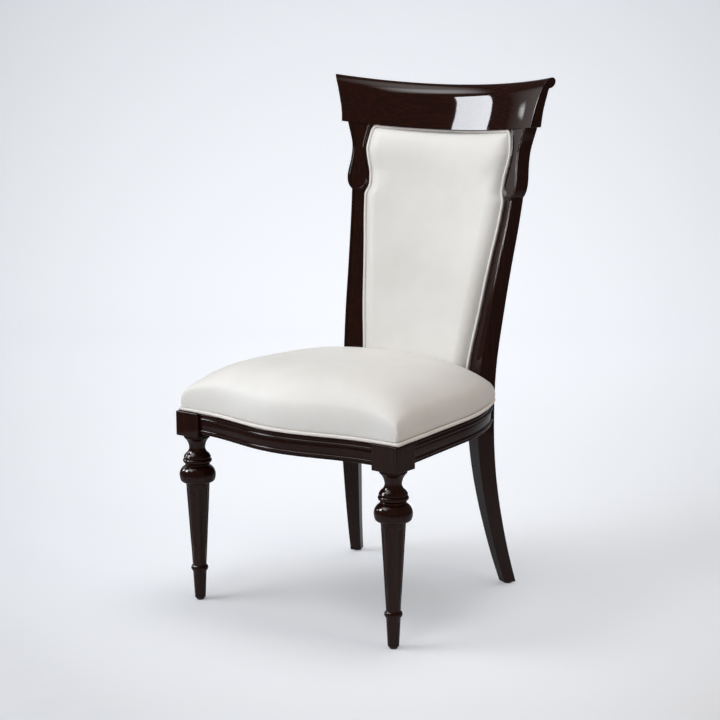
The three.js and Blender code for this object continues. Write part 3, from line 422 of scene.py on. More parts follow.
# %% Steel, nylon and dust cloth
def plain_finish(name, light, dark, grain_size, roughness, depth, metallic=0.0):
    """A mottled finish between two colours, with a grain of a given size and depth."""
    material, tree, shader = new_material(name)
    place = add_node(tree, "ShaderNodeTexCoord").outputs["Object"]
    grain = add_node(tree, "ShaderNodeTexNoise", Vector=place, Scale=to_the_metre(grain_size), Detail=3.0)
    tint = add_node(tree, "ShaderNodeValToRGB", i0=grain.outputs["Fac"], stops=[(0.35, dark), (0.65, light)])
    bump = add_node(tree, "ShaderNodeBump", Strength=0.5, Distance=depth * MM, Height=grain.outputs["Fac"])
    set_inputs(shader, Base_Color=tint.outputs["Color"], Normal=bump.outputs["Normal"], Roughness=roughness,
               Metallic=metallic)
    return material


zinc_steel = plain_finish("zinc_plated_steel", "#b9bab8", "#9b9c9a", 0.667, 0.34, 0.02, 1.0)
dark_nylon = plain_finish("moulded_nylon", "#302f2e", "#242322", 1.43, 0.5, 0.03)
dust_cloth = plain_finish("black_dust_cloth", "#232325", "#131314", 0.5, 0.95, 0.2)
print("small finishes:", zinc_steel.name, dark_nylon.name, dust_cloth.name)

# %% [markdown]
# The solids that stay as they are take these finishes too: blocks, dowels, boards, screws and glides.
# The record says of each what it is made of.

# %% Finish the solids that stay
finish_of_slot = {
    "lacquer": upright_lacquer, "timber": bare_beech, "plywood": birch_ply, "leather": pearl_leather,
    "steel": zinc_steel, "nylon": dark_nylon, "cambric": dust_cloth,
}
for part in frame["record"]["subparts"]:
    mesh = frame["nodes"][part["node"]].data
    mesh.materials.clear()
    mesh.materials.append(finish_of_slot[part["material_slot"]])

# %% [markdown]
# ## The rear legs
# Each is sawn from one plank: from the foot it sweeps forwards to the seat and back again to the crest, and
# it is turned 25 degrees inwards, so that both faces lie on the cylinder of the back. The table gives its
# middle line, width and depth by height, all as shares, and a spline makes them one fair curve.

# %% The rear leg's line
post_turn = 25 * DEGREE
post_top, rear_narrowing, post_reach = 952, 45.5, 468
post_wide, post_deep, post_arris = 43, 40, 1.0
post_spread = leg_x - rear_narrowing
post_shares = np.array([
    [0.000, 1.000, 1.000, 0.540, 0.660], [0.063, 0.958, 0.964, 0.610, 0.720],
    [0.126, 0.921, 0.934, 0.690, 0.775], [0.189, 0.889, 0.909, 0.760, 0.840],
    [0.252, 0.865, 0.889, 0.830, 0.900], [0.315, 0.848, 0.877, 0.905, 0.955],
    [0.378, 0.832, 0.877, 0.960, 1.000], [0.441, 0.822, 0.886, 0.995, 1.000],
    [0.500, 0.829, 0.899, 0.985, 0.950], [0.578, 0.865, 0.923, 0.890, 0.850],
    [0.656, 0.898, 0.952, 0.805, 0.795], [0.735, 0.935, 0.983, 0.725, 0.745],
    [0.788, 0.963, 1.004, 0.670, 0.700], [0.840, 0.984, 1.022, 0.660, 0.650],
    [0.920, 1.013, 1.047, 0.660, 0.640], [1.000, 1.041, 1.071, 0.660, 0.640],
])


def post_at(height):
    """Place x, y of the post's middle and its width and depth at heights."""
    sizes = np.array([post_spread, post_reach, post_wide, post_deep])
    read = spline(post_shares[:, 0], post_shares[:, 1:] * sizes, np.asarray(height) / post_top)
    return read[..., 0], read[..., 1], read[..., 2], read[..., 3]


def post_point(side, height, out, forward):
    """Point of a post: out along its face from its middle, and forward square to its face."""
    x, y, _, _ = post_at(height)
    across = x + out * math.cos(post_turn) - forward * math.sin(post_turn)
    back = y - out * math.sin(post_turn) - forward * math.cos(post_turn)
    return np.stack(np.broadcast_arrays(side * across, back, height), axis=-1)


print("post at the seat:", [round(float(v), 1) for v in post_at(seat_top)])

# %% [markdown]
# The crest's own line is needed first, because the legs stop under it. It is part of a cylinder, its lower
# edge rises outwards, and its ends flare by a little more turn the higher they are.

# %% The crest's line
crest_bend, crest_flare = 22 * DEGREE, 1.9 * DEGREE
crest_height, crest_bottom_rise, crest_top_rise = 99.5, 13.6, 20
crest_past_post, crest_behind_post, crest_below_top = 37, 4, 14.4
crest_bottom = post_top - crest_below_top
crest_spread = 0.2 * DEGREE
crest_radius = (post_spread + crest_past_post) / math.sin(crest_bend)
crest_centre = post_reach + crest_behind_post - crest_radius * math.cos(crest_bend)


def crest_low(share):
    """Height of the crest's lower edge: it rises with the square of the share of the half span."""
    return crest_bottom + crest_bottom_rise * share ** 2


def crest_low_over(x, y):
    """Height of the crest's lower edge over a place in plan."""
    return crest_low(np.arctan2(x, y - crest_centre) / crest_bend)


def crest_point(across, back, share):
    """Point of the crest: across from -1 to 1, back from its front foot, share of its height."""
    angle = across * (crest_bend + crest_spread + crest_flare * np.clip(share, 0, 1) ** 1.7)
    radius = crest_radius + back
    tall = crest_height + (crest_top_rise - crest_bottom_rise) * (across ** 2 - 1)
    height = crest_low(across) + share * tall
    return np.stack([radius * np.sin(angle), crest_centre + radius * np.cos(angle), height], axis=-1)


print("crest radius", round(crest_radius, 1))

# %% [markdown]
# Above the seat the front of a post is moulded: a half-round bead of 5 mm runs up its outer edge, and
# beside it a quirk and a face sunk by 1.3 mm. Both fade out where the cushion hides them. The section is one
# ring of points whose width, depth and moulding are columns over all heights at once.

# %% The rear leg's shaft
foot_height, foot_ease = 3.3, 1.6
shaft_top, neck_run, neck_ease = 838, 14, 3
bead_width, cove_depth = 5.0, 2.6
moulded_from, moulded_at = seat_top + 29, seat_top + 58


def shaft_section(wide, deep, fade):
    """Ring of (out, forward) points round the shaft; wide, deep and fade are columns of the heights. Fade 0
    is the plain section, fade 1 the moulded one, whose cove is deepest in the quirk beside the bead."""
    w, d, a = wide / 2, deep / 2, post_arris
    r = bead_width / 2
    inner_back = eased_corner(-w + a, -d + a, a, 180)
    outer_back = eased_corner(w - a, -d + a, a, 270)
    plain_edge = eased_corner(w - a, d - a, a, 0, 90, 14)
    round_edge = eased_corner(w - r, d - r, r, 0, 180, 14, 0.1)
    u = np.linspace(0.02, 1, 26)
    plain_front = (w - a - (2 * w - 2 * a) * u, d + 0 * u * w)
    cove = cove_depth * (0.5 + 0.2 * (1 - u) ** 2 + 0.3 * np.exp(-(u / 0.05) ** 2))
    moulded_front = (w - 2 * r - (2 * w - 2 * r - a) * u, d - cove + 0 * w)
    inner_front = eased_corner(-w + a, d - a, a, 90, 90, 4, 0.1)
    ring = []
    for axis in (0, 1):
        edge = plain_edge[axis] + (round_edge[axis] - plain_edge[axis]) * fade
        front = plain_front[axis] + (moulded_front[axis] - plain_front[axis]) * fade
        corner = inner_front[axis][..., 1:] - (0.5 * cove_depth * fade if axis else 0)
        ring.append(np.concatenate([inner_back[axis], outer_back[axis], edge, front, corner], axis=-1))
    return ring


def post_shaft(side):
    """The shaft from above its glide up into the pear head: the section carried along the post's line."""
    finer_from = 430
    heights = np.concatenate([
        [foot_height, foot_height + 0.8], np.linspace(foot_height + 2, finer_from, 90),
        np.linspace(finer_from + 3, shaft_top, 120),
    ])
    _, _, wide, deep = post_at(heights)
    neck = smooth_step(heights, shaft_top - neck_run, shaft_top)
    shrink = foot_ease * (heights == foot_height) + neck_ease * neck
    fade = smooth_step(heights, moulded_from, moulded_at)
    out, forward = shaft_section((wide - shrink)[:, None], (deep - shrink)[:, None], fade[:, None])
    return skin(post_point(side, heights[:, None], out, forward))


print("shaft:", len(post_shaft(1)[0]), "points")

# %% [markdown]
# The head of each post is a carved pear: a flat rim, a groove 1 mm deep, a raised bead with sloped flanks
# that follows the outline, and a dished field. Its grid runs up the outline and inwards from it, so that the
# bead keeps its distance from the edge all the way round. The left half mirrors the right, and both meet at
# the pear's foot. The rear legs are the first of three pairs, so one function makes both pieces of a pair.

# %% The carved pear head
pear_length, pear_half, pear_thick, pear_proud = 148, 24, 25, 3.4
field_dish = 0.3
pear_bottom = post_top - pear_length
pear_outline_shares = np.array([
    [0.000, -0.004], [0.240, 0.000], [0.480, 0.020], [0.720, 0.055], [0.920, 0.110], [1.000, 0.190],
    [0.950, 0.280], [0.830, 0.365], [0.715, 0.460], [0.640, 0.555], [0.635, 0.650], [0.745, 0.750],
    [0.915, 0.850], [1.090, 0.950],
])
# How far in from the outline, and how far forward of the face, in millimetres
pear_carving = np.array([
    [0.0, -1.3], [0.12, -0.75], [0.4, -0.3], [0.85, -0.05], [1.3, 0.0], [1.45, 0.0], [2.45, 0.0],
    [2.6, -0.04], [2.85, -0.3], [3.05, -0.8], [3.3, -1.0], [3.45, -0.6], [3.6, -0.2], [3.75, -0.02],
    [4.1, 0.2], [4.5, 0.37], [4.9, 0.47], [5.1, 0.49], [5.3, 0.47], [5.7, 0.37], [6.1, 0.2],
    [6.45, -0.02], [6.6, -0.2], [6.75, -0.6], [6.85, -1.3], [7.1, -1.38],
])


def pear_head(side):
    """A closed skin whose rows climb the outline from the foot to the crest's lower face."""
    right = curve_through(pear_outline_shares * [pear_half, pear_length], 150)
    tangent = unit(np.gradient(right, axis=0))
    tangent[0] = (1, 0)
    inward = np.stack([-tangent[:, 1], tangent[:, 0]], axis=1)
    face = pear_thick / 2 + pear_proud
    back = -pear_thick / 2
    rim = right[:, None] + inward[:, None] * pear_carving[None, :, :1]
    rim_forward = np.broadcast_to(face + pear_carving[:, 1], rim.shape[:2])
    t = np.linspace(0, 1, 14)[1:]
    field = rim[:, -1:] * np.stack([1 - t, 1 + 0 * t], axis=-1)[None]
    dish = field_dish * np.sin(t * math.pi / 2)
    field_forward = np.broadcast_to(face + pear_carving[-1, 1] - dish, field.shape[:2])
    wall_rows = np.array([[0, face - 3], [0, back + 1.4], [0, back + 0.8], [0.15, back + 0.3], [0.6, back],
                          [1.2, back]])
    wall = right[:, None] + inward[:, None] * wall_rows[None, :, :1]
    behind = field[:, 4::4]
    half = np.concatenate([field[:, ::-1], rim[:, ::-1], wall, behind], axis=1)
    depth = np.concatenate([
        field_forward[:, ::-1], rim_forward[:, ::-1], np.tile(wall_rows[:, 1], (len(right), 1)),
        np.full(behind.shape[:2], back),
    ], axis=1)
    other = half[:, ::-1] * [-1, 1]
    ring = np.concatenate([half, other], axis=1)
    ring_depth = np.concatenate([depth, depth[:, ::-1]], axis=1)
    height = pear_bottom + ring[..., 1]
    place = post_point(side, height, ring[..., 0], ring_depth)
    top = pear_bottom + pear_outline_shares[-1, 1] * pear_length
    under = crest_low_over(place[..., 0], place[..., 1]) - gap
    stretch = (under - pear_bottom) / (top - pear_bottom)
    height = pear_bottom + (height - pear_bottom) * np.where(height > pear_bottom, stretch, 1)
    return skin(post_point(side, height, ring[..., 0], ring_depth))


def add_pair(name, made, skins_of, finish, sharp):
    """The left and the right piece of a kind, from a function that gives the skins of side 1 or -1."""
    for label, side in (("left", 1), ("right", -1)):
        add_piece(f"{name}_{label}_{made}", skins_of(side), finish, [f"{name}_{label}"], sharp)


add_pair("rear_leg", "carved", lambda side: [post_shaft(side), pear_head(side)], upright_lacquer, 50)

# %% [markdown]
# ## The crest rail
# Its section leans back, sweeps out over the top and rolls over into a round nose, with a cove under the
# roll on the back. The ends are cut square and their edges eased. The section is a closed outline, and
# the crest is that outline carried from one end to the other: a surface of across and round.

# %% The crest rail
roll_back, roll_radius = 36.5, 11
# Back from the front foot in millimetres, and share of the height
crest_front_rows = np.array([
    [0.0, 0.0], [4.6, 0.19], [9.0, 0.39], [13.0, 0.58], [17.6, 0.775], [22.0, 0.88], [26.6, 0.95],
    [31.2, 0.985], [roll_back, 1.0],
])
crest_back_rows = np.array([[34.3, 0.735], [33.6, 0.65], [31.7, 0.5], [29.2, 0.27], [27.4, 0.05]])
crest_foot_rows = np.array([
    [26.8, 0.012], [26.0, 0.003], [25.0, 0.0], [13, 0.0], [1.6, 0.0], [0.7, 0.002], [0.15, 0.006],
])
crest_ease = 1.4


def crest_section():
    """Closed outline of (back, share of height): front sweep, roll, cove, back and foot."""
    front = curve_through(crest_front_rows, 60)
    turn = np.linspace(90, -88, 40)[1:] * DEGREE
    half_high = roll_radius / crest_height
    roll = np.stack([roll_back + roll_radius * np.cos(turn), 1 + half_high * (np.sin(turn) - 1)], axis=1)
    back = curve_through(crest_back_rows, 24)
    join = curve_through([roll[-1], (roll[-1] + back[0]) / 2 + [-0.7, 0.0], back[0]], 7)[1:-1]
    return np.concatenate([front[1:], roll, join, back, crest_foot_rows])


def crest_skin():
    """The section carried across; near each end it shrinks round a quarter arc, which eases the edge."""
    section = crest_section()
    size = np.array([1.0, crest_height])
    tangent = unit(np.roll(section, -1, axis=0) * size - np.roll(section, 1, axis=0) * size)
    inward = np.stack([tangent[:, 1], -tangent[:, 0]], axis=1) / size
    turn = np.linspace(0, 90, 6) * DEGREE
    half = crest_radius * crest_bend
    ends = 1 - crest_ease * (1 - np.sin(turn[::-1])) / half
    shrink = crest_ease * (1 - np.cos(turn))[::-1]
    middle = np.linspace(-1, 1, 181) * (1 - 3 * crest_ease / half)
    across = np.concatenate([np.sort(-ends), middle, np.sort(ends)])
    inset = np.concatenate([np.sort(shrink)[::-1], 0 * middle, np.sort(shrink)])
    rows = section[None] + inward[None] * inset[:, None, None]
    return skin(crest_point(across[:, None], rows[..., 0], rows[..., 1]))


add_piece("crest_rail_rolled", [crest_skin()], lengthwise_lacquer, ["crest_rail"], 50)

# %% [markdown]
# ## The front legs
# A turner cuts the leg from a square blank: foot, ankle ring, tapered shaft, ring, ball, collar, cup and
# neck, below a block that stays square for the rails' joints. Eight flutes with round ends are then routed
# down the taper. The radius is a function of height and angle: the turner's template less the flutes.

# %% The turned and fluted leg
block_half, block_height, block_arris = 29.2, 50, 1.4
flute_count, flute_depth, flute_share = 8, 2.5, 0.8
flute_low, flute_full, flute_high = 82.0, 130, 240.0
turning_rows = [
    (7.9, foot_height, 0.0), (9.0, 3.4, 0.3), (11.0, 7.0, 0.0), (13.7, 60.0, 0.0), (14.2, 60.6, 0.0),
    (14.2, 61.8, 0.55), (14.2, 73.6, 0.0), (13.9, 74.4, 0.0), (14.1, 78.0, 0.0),
    (23.7, 243.2, 0.0), (24.8, 248.4, 0.0), (30.8, 249.2, 0.16), (34.6, 252.6, 0.08), (36.7, 263.6, 0.3),
    (23.8, 283.0, 0.0), (24.2, 283.6, 0.5), (24.2, 287.2, 0.0), (23.8, 287.8, 0.0), (25.4, 288.6, 0.85),
    (25.4, 297.6, 0.0), (25.0, 298.3, 0.0), (27.0, 299.0, 0.35), (26.6, 302.4, 0.12), (23.2, 307.4, -0.2),
    (16.2, 318.4, -0.2), (25.0, 339.8, 0.0), (25.6, 340.4, 0.4), (26.0, 343.2, 0.0), (26.0, 346.6, 0.0),
]


def turned_heights(outline):
    """Rows of (radius, height) from the template, with close rows where the flutes end."""
    below, above = outline[outline[:, 1] < flute_low - 2], outline[outline[:, 1] > flute_high + 2]
    close, step = 7.0, 0.4
    heights = np.concatenate([
        [flute_low - 0.6], np.arange(flute_low, flute_low + close, step),
        np.linspace(flute_low + close, flute_high - 2 * close, 34),
        np.arange(flute_high - 2 * close + step, flute_high + step / 4, step), [flute_high + 0.6],
    ])
    radius = np.interp(heights, [below[-1, 1], above[0, 1]], [below[-1, 0], above[0, 0]])
    return np.concatenate([below, np.stack([radius, heights], axis=1), above])


def turned_leg(side):
    """Rings round the leg's axis: radius(height, angle) = template - flute. A flute is a shallow arc across
    its width, its ends are round because its width closes along a circle, and it is shallow at the ankle."""
    rows = turned_heights(lines_and_arcs(turning_rows, 8.0))
    across = np.concatenate([np.linspace(-1, 1, 23), [1.12]])
    pitch = 2 * math.pi / flute_count
    middle = (np.arange(flute_count) + 0.5) * pitch
    angle = (middle[:, None] + across[None] * flute_share * pitch / 2).ravel()
    offset = np.tile(across, flute_count)
    radius, height = rows[:, :1], rows[:, 1:]
    half = flute_share * pitch / 2 * radius
    end = np.minimum(height - flute_low, flute_high - height)
    past = np.clip(1 - end / half, 0, None)
    bowl = np.clip(1 - offset ** 2 - past ** 2, 0, 1)
    inside = (end > 0) & (np.abs(offset) <= 1)
    deepen = 0.35 + 0.65 * smooth_step(height, flute_low, flute_full)
    depth = flute_depth * radius / rows[:, 0].mean() * deepen
    out = radius - np.where(inside, depth * np.sqrt(bowl) * (0.45 + 0.55 * bowl), 0)
    x, y = side * leg_x + out * np.cos(angle), out * np.sin(angle)
    return skin(np.stack(np.broadcast_arrays(x, y, height), axis=-1))


def leg_block(side):
    """The square block: a rounded square ring, drawn in at its top and bottom edges."""
    plan = eased_rectangle([-block_half] * 2, [block_half] * 2, block_arris)
    turn = np.linspace(0, 90, 5) * DEGREE
    ease = block_arris * (1 - np.sin(turn))
    drop = block_arris * (1 - np.cos(turn))
    bottom = seat_top - block_height
    heights = np.concatenate([bottom + drop, [bottom + 3, seat_top - 3], seat_top - drop[::-1]])
    inset = np.concatenate([ease, [0, 0], ease[::-1]])
    scale = 1 - inset / block_half
    flat = plan[None] * scale[:, None, None]
    rows = np.concatenate([flat, np.broadcast_to(heights[:, None, None], flat.shape[:2] + (1,))], axis=-1)
    return skin(rows + np.array([side * leg_x, 0, 0]))


add_pair("front_leg", "turned", lambda side: [turned_leg(side), leg_block(side)], upright_lacquer, 38)

# %% [markdown]
# ## The seat rails
# One moulding runs round three sides of the seat: a lip with a cove under it, a bead, a flat field, a
# second bead and a fillet. The front rail is serpentine, so its face swells forwards by 33 mm in the
# middle. A side rail runs straight, then bends inwards and dies against the rear leg's outer side.

# %% The rail moulding
rail_inset, belly_reach, rail_thick = 4.5, 33, 27
rail_end = leg_x - block_half
rail_face = rail_inset - block_half
side_face = leg_x + block_half - rail_inset
moulding_height, moulding_depth = 42, 4
moulding_rows = [
    (-2.3, 0.0, 0.2), (-1.35, 0.9, 0.0), (-1.35, 2.6, 0.0), (-2.9, 3.1, 0.0), (-2.9, 3.9, 0.0),
    (-1.6, 4.3, 0.66), (-1.6, 9.3, 0.0), (-2.95, 9.8, 0.0), (-2.95, 10.8, 0.15), (-2.5, 12.0, 0.0),
    (-2.5, 25.2, 0.15), (-2.95, 26.6, 0.0), (-2.95, 27.9, 0.0), (-1.6, 28.4, 0.66), (-1.6, 33.6, 0.0),
    (-2.9, 34.0, 0.0), (-2.9, 34.7, -0.35), (-1.35, 38.7, 0.0), (-1.35, 41.0, 0.3),
    (-2.4, moulding_height, 0.0),
]


def rail_rings(x, y, out_x, out_y):
    """The moulding's section set at stations of a plan line, each looking outwards."""
    face = lines_and_arcs(moulding_rows, 20.0, 14 * DEGREE)
    behind = [[-moulding_depth, moulding_height], [-rail_thick, moulding_height], [-rail_thick, 0],
              [-moulding_depth, 0]]
    section = np.concatenate([face, behind])
    out = section[None, :, 0]
    height = rail_bottom + section[None, :, 1] * rail_height / moulding_height
    plan_x, plan_y = x[:, None] + out_x[:, None] * out, y[:, None] + out_y[:, None] * out
    return np.stack(np.broadcast_arrays(plan_x, plan_y, height), axis=-1)


def front_line(x):
    """The serpentine: one wave of a cosine, deepest in the middle."""
    share = np.clip(np.abs(x) / rail_end, 0, 1)
    return rail_face - belly_reach * (0.5 + 0.5 * np.cos(math.pi * share))


def front_rail_skin():
    """Stations from leg to leg, square to the serpentine."""
    x = np.linspace(-1, 1, 121) * (rail_end - gap)
    slope = belly_reach * math.pi / 2 / rail_end * np.sin(math.pi * x / rail_end)
    length = np.hypot(1, slope)
    return skin(rail_rings(x, front_line(x), slope / length, -1 / length))


add_piece("front_rail_moulded", [front_rail_skin()], lengthwise_lacquer, ["front_rail"], 30)

# %% [markdown]
# The side line's straight length and bend follow from its two ends: it leaves the front leg at a taper of
# 5.2 degrees and meets the rear leg after another 26.8 degrees of turn.

# %% The side rails
side_taper, side_turn = 5.2 * DEGREE, 26.8 * DEGREE
side_end = side_taper + side_turn
lap_over, lap_behind = 8.7, 2.9
lap_wide, lap_deep = post_at(rail_middle)[2:]
lap_point = post_point(1, rail_middle, lap_wide / 2 - lap_over, -lap_deep / 2 - lap_behind)
inward, backward = side_face - lap_point[0], lap_point[1] - block_half
slack = 1 - math.cos(side_turn)
bend_radius = (inward * math.cos(side_taper) - backward * math.sin(side_taper)) / slack
straight_run = (backward * (math.cos(side_taper) - math.cos(side_end))
                - inward * (math.sin(side_end) - math.sin(side_taper))) / slack
whole_run = straight_run + bend_radius * side_turn
lapped_run = whole_run - lap_over / math.sin(side_end + post_turn)


def side_place(run):
    """Point of the side line and the way outwards: a straight, then an arc of the bend's radius."""
    straight = np.minimum(run, straight_run)
    angle = side_taper + np.maximum(run - straight_run, 0) / bend_radius
    x = side_face - straight * math.sin(side_taper) - bend_radius * (math.cos(side_taper) - np.cos(angle))
    y = block_half + straight * math.cos(side_taper) + bend_radius * (np.sin(angle) - math.sin(side_taper))
    return x, y, np.cos(angle), np.sin(angle)


def side_rail_skin(side):
    """Stations along the side line, with the front end cut flush to the leg's block."""
    past_joint = 3.0
    run = np.concatenate([[-past_joint], np.linspace(straight_run / 12, straight_run, 12),
                          np.linspace(straight_run, lapped_run, 60)[1:]])
    rings = rail_rings(*side_place(run))
    rings[..., 1] = np.maximum(rings[..., 1], block_half + gap)
    return skin(rings * [side, 1, 1])


add_pair("side_rail", "moulded", lambda side: [side_rail_skin(side)], sideways_lacquer, 30)
print("straight", round(straight_run, 1), "bend radius", round(bend_radius, 1))

# %% [markdown]
# ## The back
# Everything between the posts lies on one cylinder that passes through both, so a point of the back is an
# angle from the middle, a depth forwards and a height. The angle at which a post's inner face is met gives
# the edges of the pad, the cord beside it and the panel behind.


# %% The back's cylinder
def post_half_table():
    """Heights and half widths that clear the post and its pear head: the widest within 7 mm of each height,
    then softened over 7 mm, as leather and cord can't follow a sharp corner."""
    low, high, reach, softness = 380.0, 962.0, 7, 5.0
    height = np.arange(low, high)
    outline = curve_through(pear_outline_shares * [pear_half, pear_length], 400)
    pear = np.where(height > pear_bottom, np.interp(height - pear_bottom, outline[:, 1], outline[:, 0]), 0)
    half = np.maximum(post_at(height)[2] / 2, pear)
    shift = np.arange(-reach, reach + 1)
    near = np.clip(np.arange(len(height))[:, None] + shift, 0, len(height) - 1)
    widest = half[near].max(axis=1)
    weight = np.exp(-(shift / softness) ** 2)
    return height, (widest[near] * weight).sum(axis=1) / weight.sum()


post_half = post_half_table()


def back_point(angle, forward, height):
    """Point of the back's cylinder, whose centre is square to both posts at each height."""
    x, y, _, _ = post_at(height)
    radius = x / math.sin(post_turn) - forward
    centre = y - x / math.tan(post_turn)
    back = centre + radius * np.cos(angle)
    return np.stack(np.broadcast_arrays(radius * np.sin(angle), back, height), axis=-1)


def back_edge(forward, height, inset):
    """Angle at which the back meets a post's inner face, less an inset."""
    x, _, _, _ = post_at(height)
    half = np.interp(height, *post_half)
    return post_turn - np.arctan((half + inset) / (x / math.sin(post_turn) - forward))


def back_top(across, inset):
    """Height of the back's upper edge under the crest, found by four steps of repetition."""
    height = np.full(np.shape(across), float(crest_bottom))
    for _ in range(4):
        point = back_point(across * back_edge(0, height, inset), 0, height)
        height = crest_low_over(point[..., 0], point[..., 1]) - inset
    return height


print("back is", round(2 * float(back_edge(0, 700.0, 0)) / DEGREE, 1), "degrees wide at mid height")

# %% [markdown]
# The rail between the rear legs at seat height is a plain curved board, so it needs only four corners.

# %% The rail between the rear legs
back_rail_half, back_rail_arris = 11, 1


def back_rail_skin():
    """A rectangle with eased edges carried along the back's cylinder at the rails' height."""
    section = eased_rectangle((-back_rail_half, 0), (back_rail_half, rail_height), back_rail_arris)
    angle = np.linspace(-1, 1, 61)[:, None] * back_edge(0, rail_middle, gap)
    rings = back_point(angle, section[None, :, 0], rail_middle)
    rings[..., 2] = rail_bottom + section[:, 1]
    return skin(rings)


add_piece("back_seat_rail_eased", [back_rail_skin()], lengthwise_lacquer, ["back_seat_rail"], 30)

# %% [markdown]
# The pad is foam under leather, drawn down to the posts at its edges in a tight roll and nearly flat between
# them. The crown is a product of two rounded profiles, one across and one up the back. A soft hollow beside
# each pear's foot shows where the leather is drawn round the wood.

# %% The back pad
board_thick, pad_crown, pad_clear = 6, 28, 1.4
cord_radius, cord_gap = 3.0, 0.4
pad_rise = 12
pad_bottom = seat_top + pad_rise + 3 * gap
pad_inset = 2 * cord_radius + cord_gap + gap
corner_radius = 8
cord_proud_of_post, pad_below_cord = 1.6, 0.5
pad_roll, roll_share = 0.17, 0.86
draw_deep, draw_in, draw_high, draw_above_foot = 5.0, 0.12, 30.0, 46


def pad_front(across, share, height):
    """Depth of the pad's face = the posts' depth at its edge + (crown across - hollow) x crown up. Across,
    the crown is an ellipse over the roll plus a shallow parabola; the hollow is a bell curve both ways."""
    past = np.clip((np.abs(across) - 1 + pad_roll) / pad_roll, 0, 1)
    crown_across = roll_share * np.sqrt(1 - past ** 2.1) + (1 - roll_share) * (1 - across ** 2)
    crown_up = (1 - np.abs(2 * share - 1) ** 16) ** 0.5
    beside = (1 - draw_in - np.abs(across)) / draw_in
    above = (height - pear_bottom - draw_above_foot) / draw_high
    crown = pad_crown * crown_across - draw_deep * np.exp(-beside ** 2 - above ** 2)
    return post_at(height)[3] / 2 + cord_proud_of_post - pad_below_cord + crown * crown_up


def edge_spread(count):
    """Places from -1 to 1 that crowd towards both ends, where a pad turns down."""
    t = np.linspace(-1, 1, count)
    return np.sin(t * math.pi / 2) * 0.94 + t * 0.06


def pad_sheets(rows, columns):
    """Front and back sheets of the pad over shares of its height and places across it."""
    share = (edge_spread(rows)[:, None] + 1) / 2
    across = edge_spread(columns)[None]
    height = pad_bottom + (back_top(across, pad_inset) - pad_bottom) * share
    rise = np.clip(1 - (1 - share) * (crest_bottom - pad_bottom) / corner_radius, 0, 1)
    inset = pad_inset + corner_radius * (1 - np.sqrt(1 - rise ** 2))
    sheets = []
    for forward in (pad_front(across, share, height), np.full(height.shape, board_thick / 2 + pad_clear)):
        sheets.append(back_point(across * back_edge(forward, height, inset), forward, height))
    return sheets


back_pad = add_piece("back_pad_leather", [sandwich(*pad_sheets(150, 130))], pearl_leather,
                     ["back_pad"], 60)

# %% [markdown]
# Leather piping is a strip sewn round a cord. It is a circle carried along a path, and its seam side is
# pressed against the pad, so only the round shows.


# %% Piping round the back
def cord_skin(path, facing, radius, steps=16):
    """A circle carried along a path: its plane is square to the path, its second axis near facing."""
    run = unit(np.gradient(path, axis=0))
    across = unit(np.cross(run, facing))
    up = np.cross(across, run)
    turn = 2 * math.pi * np.arange(steps) / steps
    ring = across[:, None] * np.cos(turn)[None, :, None] + up[:, None] * np.sin(turn)[None, :, None]
    return skin(path[:, None] + radius * ring)


def back_cord_path():
    """Up one post, round the corner, along under the crest and down the other post."""
    inset = cord_radius + cord_gap
    corner = corner_radius + inset
    top = float(back_top(np.array(1.0), inset))
    straight = np.linspace(pad_bottom, top - corner, 120)
    turn = np.linspace(0, 90, 10)[1:] * DEGREE
    heights = np.concatenate([straight, top - corner * (1 - np.sin(turn))])
    insets = np.concatenate([0 * straight + inset, inset + corner * (1 - np.cos(turn))])
    depth = post_at(heights)[3] / 2 + cord_proud_of_post
    side = back_point(back_edge(depth, heights, insets), depth, heights)
    reach = side[-1, 0] / back_point(back_edge(depth[-1], top, inset), depth[-1], top)[0]
    across = np.linspace(1, -1, 61)[1:-1] * reach
    high = back_top(across, inset)
    depth = post_at(high)[3] / 2 + cord_proud_of_post
    over = back_point(across * back_edge(depth, high, inset), depth, high)
    return np.concatenate([side, over, side[::-1] * [-1, 1, 1]])


cord_path = back_cord_path()
cord_facing = np.stack([-cord_path[:, 0], crest_centre - cord_path[:, 1], 0 * cord_path[:, 0]], axis=1)
add_piece("back_piping_cord", [cord_skin(cord_path, cord_facing, cord_radius)], welt_leather,
          ["back_piping"], 60)
print("back piping is", round(float(reach_along(cord_path)[-1])), "mm long")

# %% [markdown]
# The outside back is a leather panel stretched over thin wadding and closed on the back of the frame. It
# bellies out a little between its edges.

# %% The outside back
outside_ease, belly_share = 1.6, 0.8


def outside_sheets(rows, columns):
    """Two sheets from the seat rail to the crest: the inner one flat, the outer one bellied."""
    share = (edge_spread(rows)[:, None] + 1) / 2
    across = edge_spread(columns)[None]
    low = seat_top + gap
    height = low + (back_top(across, gap) - low) * share
    deep = post_at(height)[3]
    belly = (1 - across ** 4) * (1 - (2 * share - 1) ** 8)
    soft = outside_ease * (1 - (1 - np.abs(across) ** 30) * (1 - np.abs(2 * share - 1) ** 60))
    outer = -deep / 2 + cove_depth * (1 - belly_share * belly) + soft
    inner = np.full(height.shape, -board_thick / 2 - pad_clear / 2)
    return [back_point(across * back_edge(f, height, 3 * gap), f, height) for f in (inner, outer)]


outside_back = add_piece("outside_back_leather", [sandwich(*outside_sheets(90, 70))], pearl_leather,
                         ["outside_back"], 60)

# %% [markdown]
# ## The seat
# The seat's edge follows the rails: serpentine, round corner, straight side, bend. The same line, drawn in
# by different amounts, gives the piping and the cushion.

# %% The seat's outline
seat_cord_radius = 3.5
cord_overhang = 1.0
cushion_corner = 4
rear_swell, rear_reach, swell_past_post = 9.1, 64, 20
swell_height = seat_top + 14


